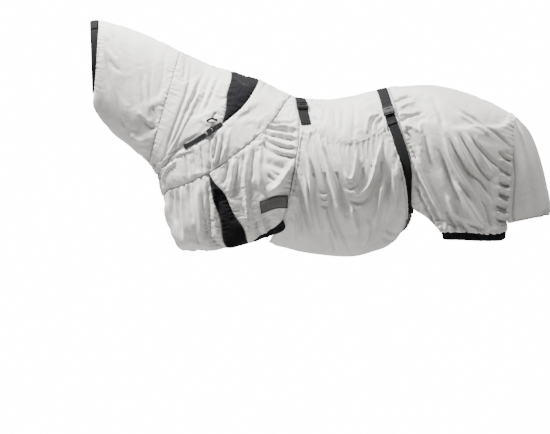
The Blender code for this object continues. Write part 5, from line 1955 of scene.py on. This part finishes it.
@dataclass
class StrapKeeper:
    """Ribbed keeper that runs on the rear strap."""
    finishes: Finishes
    length: float = 0.014
    wall: float = 0.0016
    clearance: float = 0.0006
    lift: float = 0.0034

    def build(self, route: Route, share: float) -> list[Piece]:
        """Moulds the loop, ribs its face and sets it on the webbing.

        Args:
            route: the strap's centre line.
            share: how far down it the keeper sits, as a share of its length.

        Returns:
            The keeper, alone in a list.
        """
        half = STRAP_WIDTH / 2 + self.clearance
        low, high = -self.clearance, .0015 + 2 * self.clearance
        outer = half + self.wall
        body = new_block("rear_keeper_moulding", (-outer, -self.length / 2, low - self.wall),
                         (outer, self.length / 2, high + 2 * self.wall))
        bevel_edges(body, lambda way, at: abs(way.y) > .9, .0016, 4)
        merge(body, new_block("opening", (-half, -self.length, low), (half, self.length, high)),
              "DIFFERENCE")
        for k in range(4):
            y = -self.length / 2 + .0014 + k * .0032
            rib = new_block("rib", (-half, y, high + self.wall),
                            (half, y + .0016, high + 2 * self.wall + .0008))
            bevel_edges(rib, lambda way, at: abs(way.x) > .9 and at.z > high + 2 * self.wall,
                        .0005, 2)
            merge(body, rib, "UNION")
        moulding = SideReleaseBuckle("rear_keeper", STRAP_WIDTH, self.finishes)
        return [moulding.place(body, route.frame(route.length * share, self.lift),
                               "rear_strap_slider", "rear_strap_slider")]


@dataclass
class NeckLoop:
    """Narrow webbing that arches over the neck closure."""
    form: BodyForm
    finishes: Finishes
    width: float = 0.010
    rise: float = 0.012

    def build(self) -> list[Piece]:
        """Builds and returns the loop."""
        route = Route(self.form, NECK_LOOP, False)
        webbing = Webbing("neck_loop_webbing", route, self.width, self.finishes)
        return [webbing.build(
            0, route.length,
            lambda m: STRAP_LIFT + self.rise * math.sin(math.pi * m / route.length),
            "rug", ["neck_strap_loop"])]


# ---------------------------------------------------------------- studio
@dataclass
class Studio:
    """Pale floor and surround, soft light from above, and the camera."""
    width: float = 2.585        # metres across the view
    middle: tuple = (0.0893, -0.649)
    floor: float = -1.635       # where the hooves stand
    reach: float = 9.0          # from the middle to the floor's edge
    key_power: float = 860.0
    above_power: float = 210.0
    lit_low: float = 0.02       # how strongly the surround lights from below and from above
    lit_high: float = 0.10
    paper_white: float = 16.0   # how strongly it shows when it is seen straight on

    def surface(self, name: str, colour: str) -> bpy.types.Material:
        """Makes and returns a plain matt surface."""
        material = bpy.data.materials.new(name)
        material.use_nodes = True
        shader = material.node_tree.nodes["Principled BSDF"]
        shader.inputs["Base Color"].default_value = linear(colour)
        shader.inputs["Roughness"].default_value = .9
        return material

    def lay_floor(self) -> None:
        """Lays the floor."""
        r, z = self.reach, self.floor
        mesh = bpy.data.meshes.new("floor")
        mesh.from_pydata([(-r, -r, z), (r, -r, z), (r, r, z), (-r, r, z)], [], [(0, 1, 2, 3)])
        mesh.materials.append(self.surface("pale_floor", "#B4B4B4"))
        obj = bpy.data.objects.new("floor", mesh)
        bpy.context.scene.collection.objects.link(obj)

    def lamp(self, name: str, place: tuple, aim: tuple, size: float, power: float) -> None:
        """Hangs one square soft light.

        Args:
            name: its name.
            place: where it hangs.
            aim: what it points at.
            size: its side, in metres.
            power: its power, in watts.
        """
        light = bpy.data.lights.new(name, "AREA")
        light.shape, light.size, light.energy = "SQUARE", size, power
        obj = bpy.data.objects.new(name, light)
        obj.location = place
        obj.rotation_euler = (Vector(aim) - Vector(place)).to_track_quat("-Z", "Y").to_euler()
        bpy.context.scene.collection.objects.link(obj)

    def build(self) -> None:
        """Sets up the floor, the light and the camera."""
        self.lay_floor()
        world = bpy.data.worlds.new("pale_surround")
        bpy.context.scene.world = world
        world.use_nodes = True
        tree = world.node_tree
        way = add_node(tree, "TexCoord").outputs["Generated"]
        height = add_node(tree, "SeparateXYZ", {"Vector": way})
        lit = add_node(tree, "MapRange", {"Value": height.outputs["Z"], 1: -.1, 2: .8,
                       3: self.lit_low, 4: self.lit_high}, interpolation_type="SMOOTHSTEP")
        # Seen straight on, the surround is plain white paper; what it lights is much dimmer.
        seen = add_node(tree, "LightPath").outputs["Is Camera Ray"]
        both = add_node(tree, "Math", {0: seen, 1: self.paper_white, 2: lit.outputs[0]},
                        operation="MULTIPLY_ADD")
        back = tree.nodes["Background"]
        back.inputs["Color"].default_value = linear("#FCFDFF")
        tree.links.new(both.outputs[0], back.inputs["Strength"])
        self.lamp("softbox_key", (-1.7, -.74, 2.95), (0.25, -.1, -.45), .6, self.key_power)
        self.lamp("softbox_above", (1.7, -.55, 2.8), (0.6, 0, -.4), 1.3,
                  self.above_power)
        camera = bpy.data.cameras.new("camera")
        camera.type, camera.ortho_scale = "ORTHO", self.width
        camera.clip_end = 60
        obj = bpy.data.objects.new("camera", camera)
        obj.location = (self.middle[0], -7, self.middle[1])
        obj.rotation_euler = (math.radians(90), 0, 0)
        bpy.context.scene.collection.objects.link(obj)
        bpy.context.scene.camera = obj


def main() -> None:
    """Builds every sub-assembly in order and reports its pieces."""
    logging.basicConfig(level=logging.INFO, format="%(message)s")
    form, finishes = BodyForm(), Finishes()
    Studio().build()
    front = BuckledStrap("front", FRONT_STRAP, FRONT_BUCKLE_AT, STRAP_WIDTH, True, "belly_flap",
                         form, finishes)
    rear = BuckledStrap("rear", REAR_STRAP, REAR_BUCKLE_AT, STRAP_WIDTH, True, "belly_flap",
                        form, finishes)
    neck = BuckledStrap("neck", NECK_STRAP, NECK_BUCKLE_AT, NECK_STRAP_WIDTH, False, "rug",
                        form, finishes)
    pieces = DrapedCloth(form, finishes).build()
    for part in (BellyFlap, TailFlap, PollBand, LabelPatch):
        pieces += part(form, finishes).build()
    pieces += front.build() + rear.build()
    pieces += StrapKeeper(finishes).build(rear.route(), REAR_SLIDER_AT)
    pieces += neck.build() + NeckLoop(form, finishes).build()
    for piece in pieces:
        log.info("%s: %d faces", piece.name, len(piece.data.polygons))


if __name__ == "__main__":
    main()
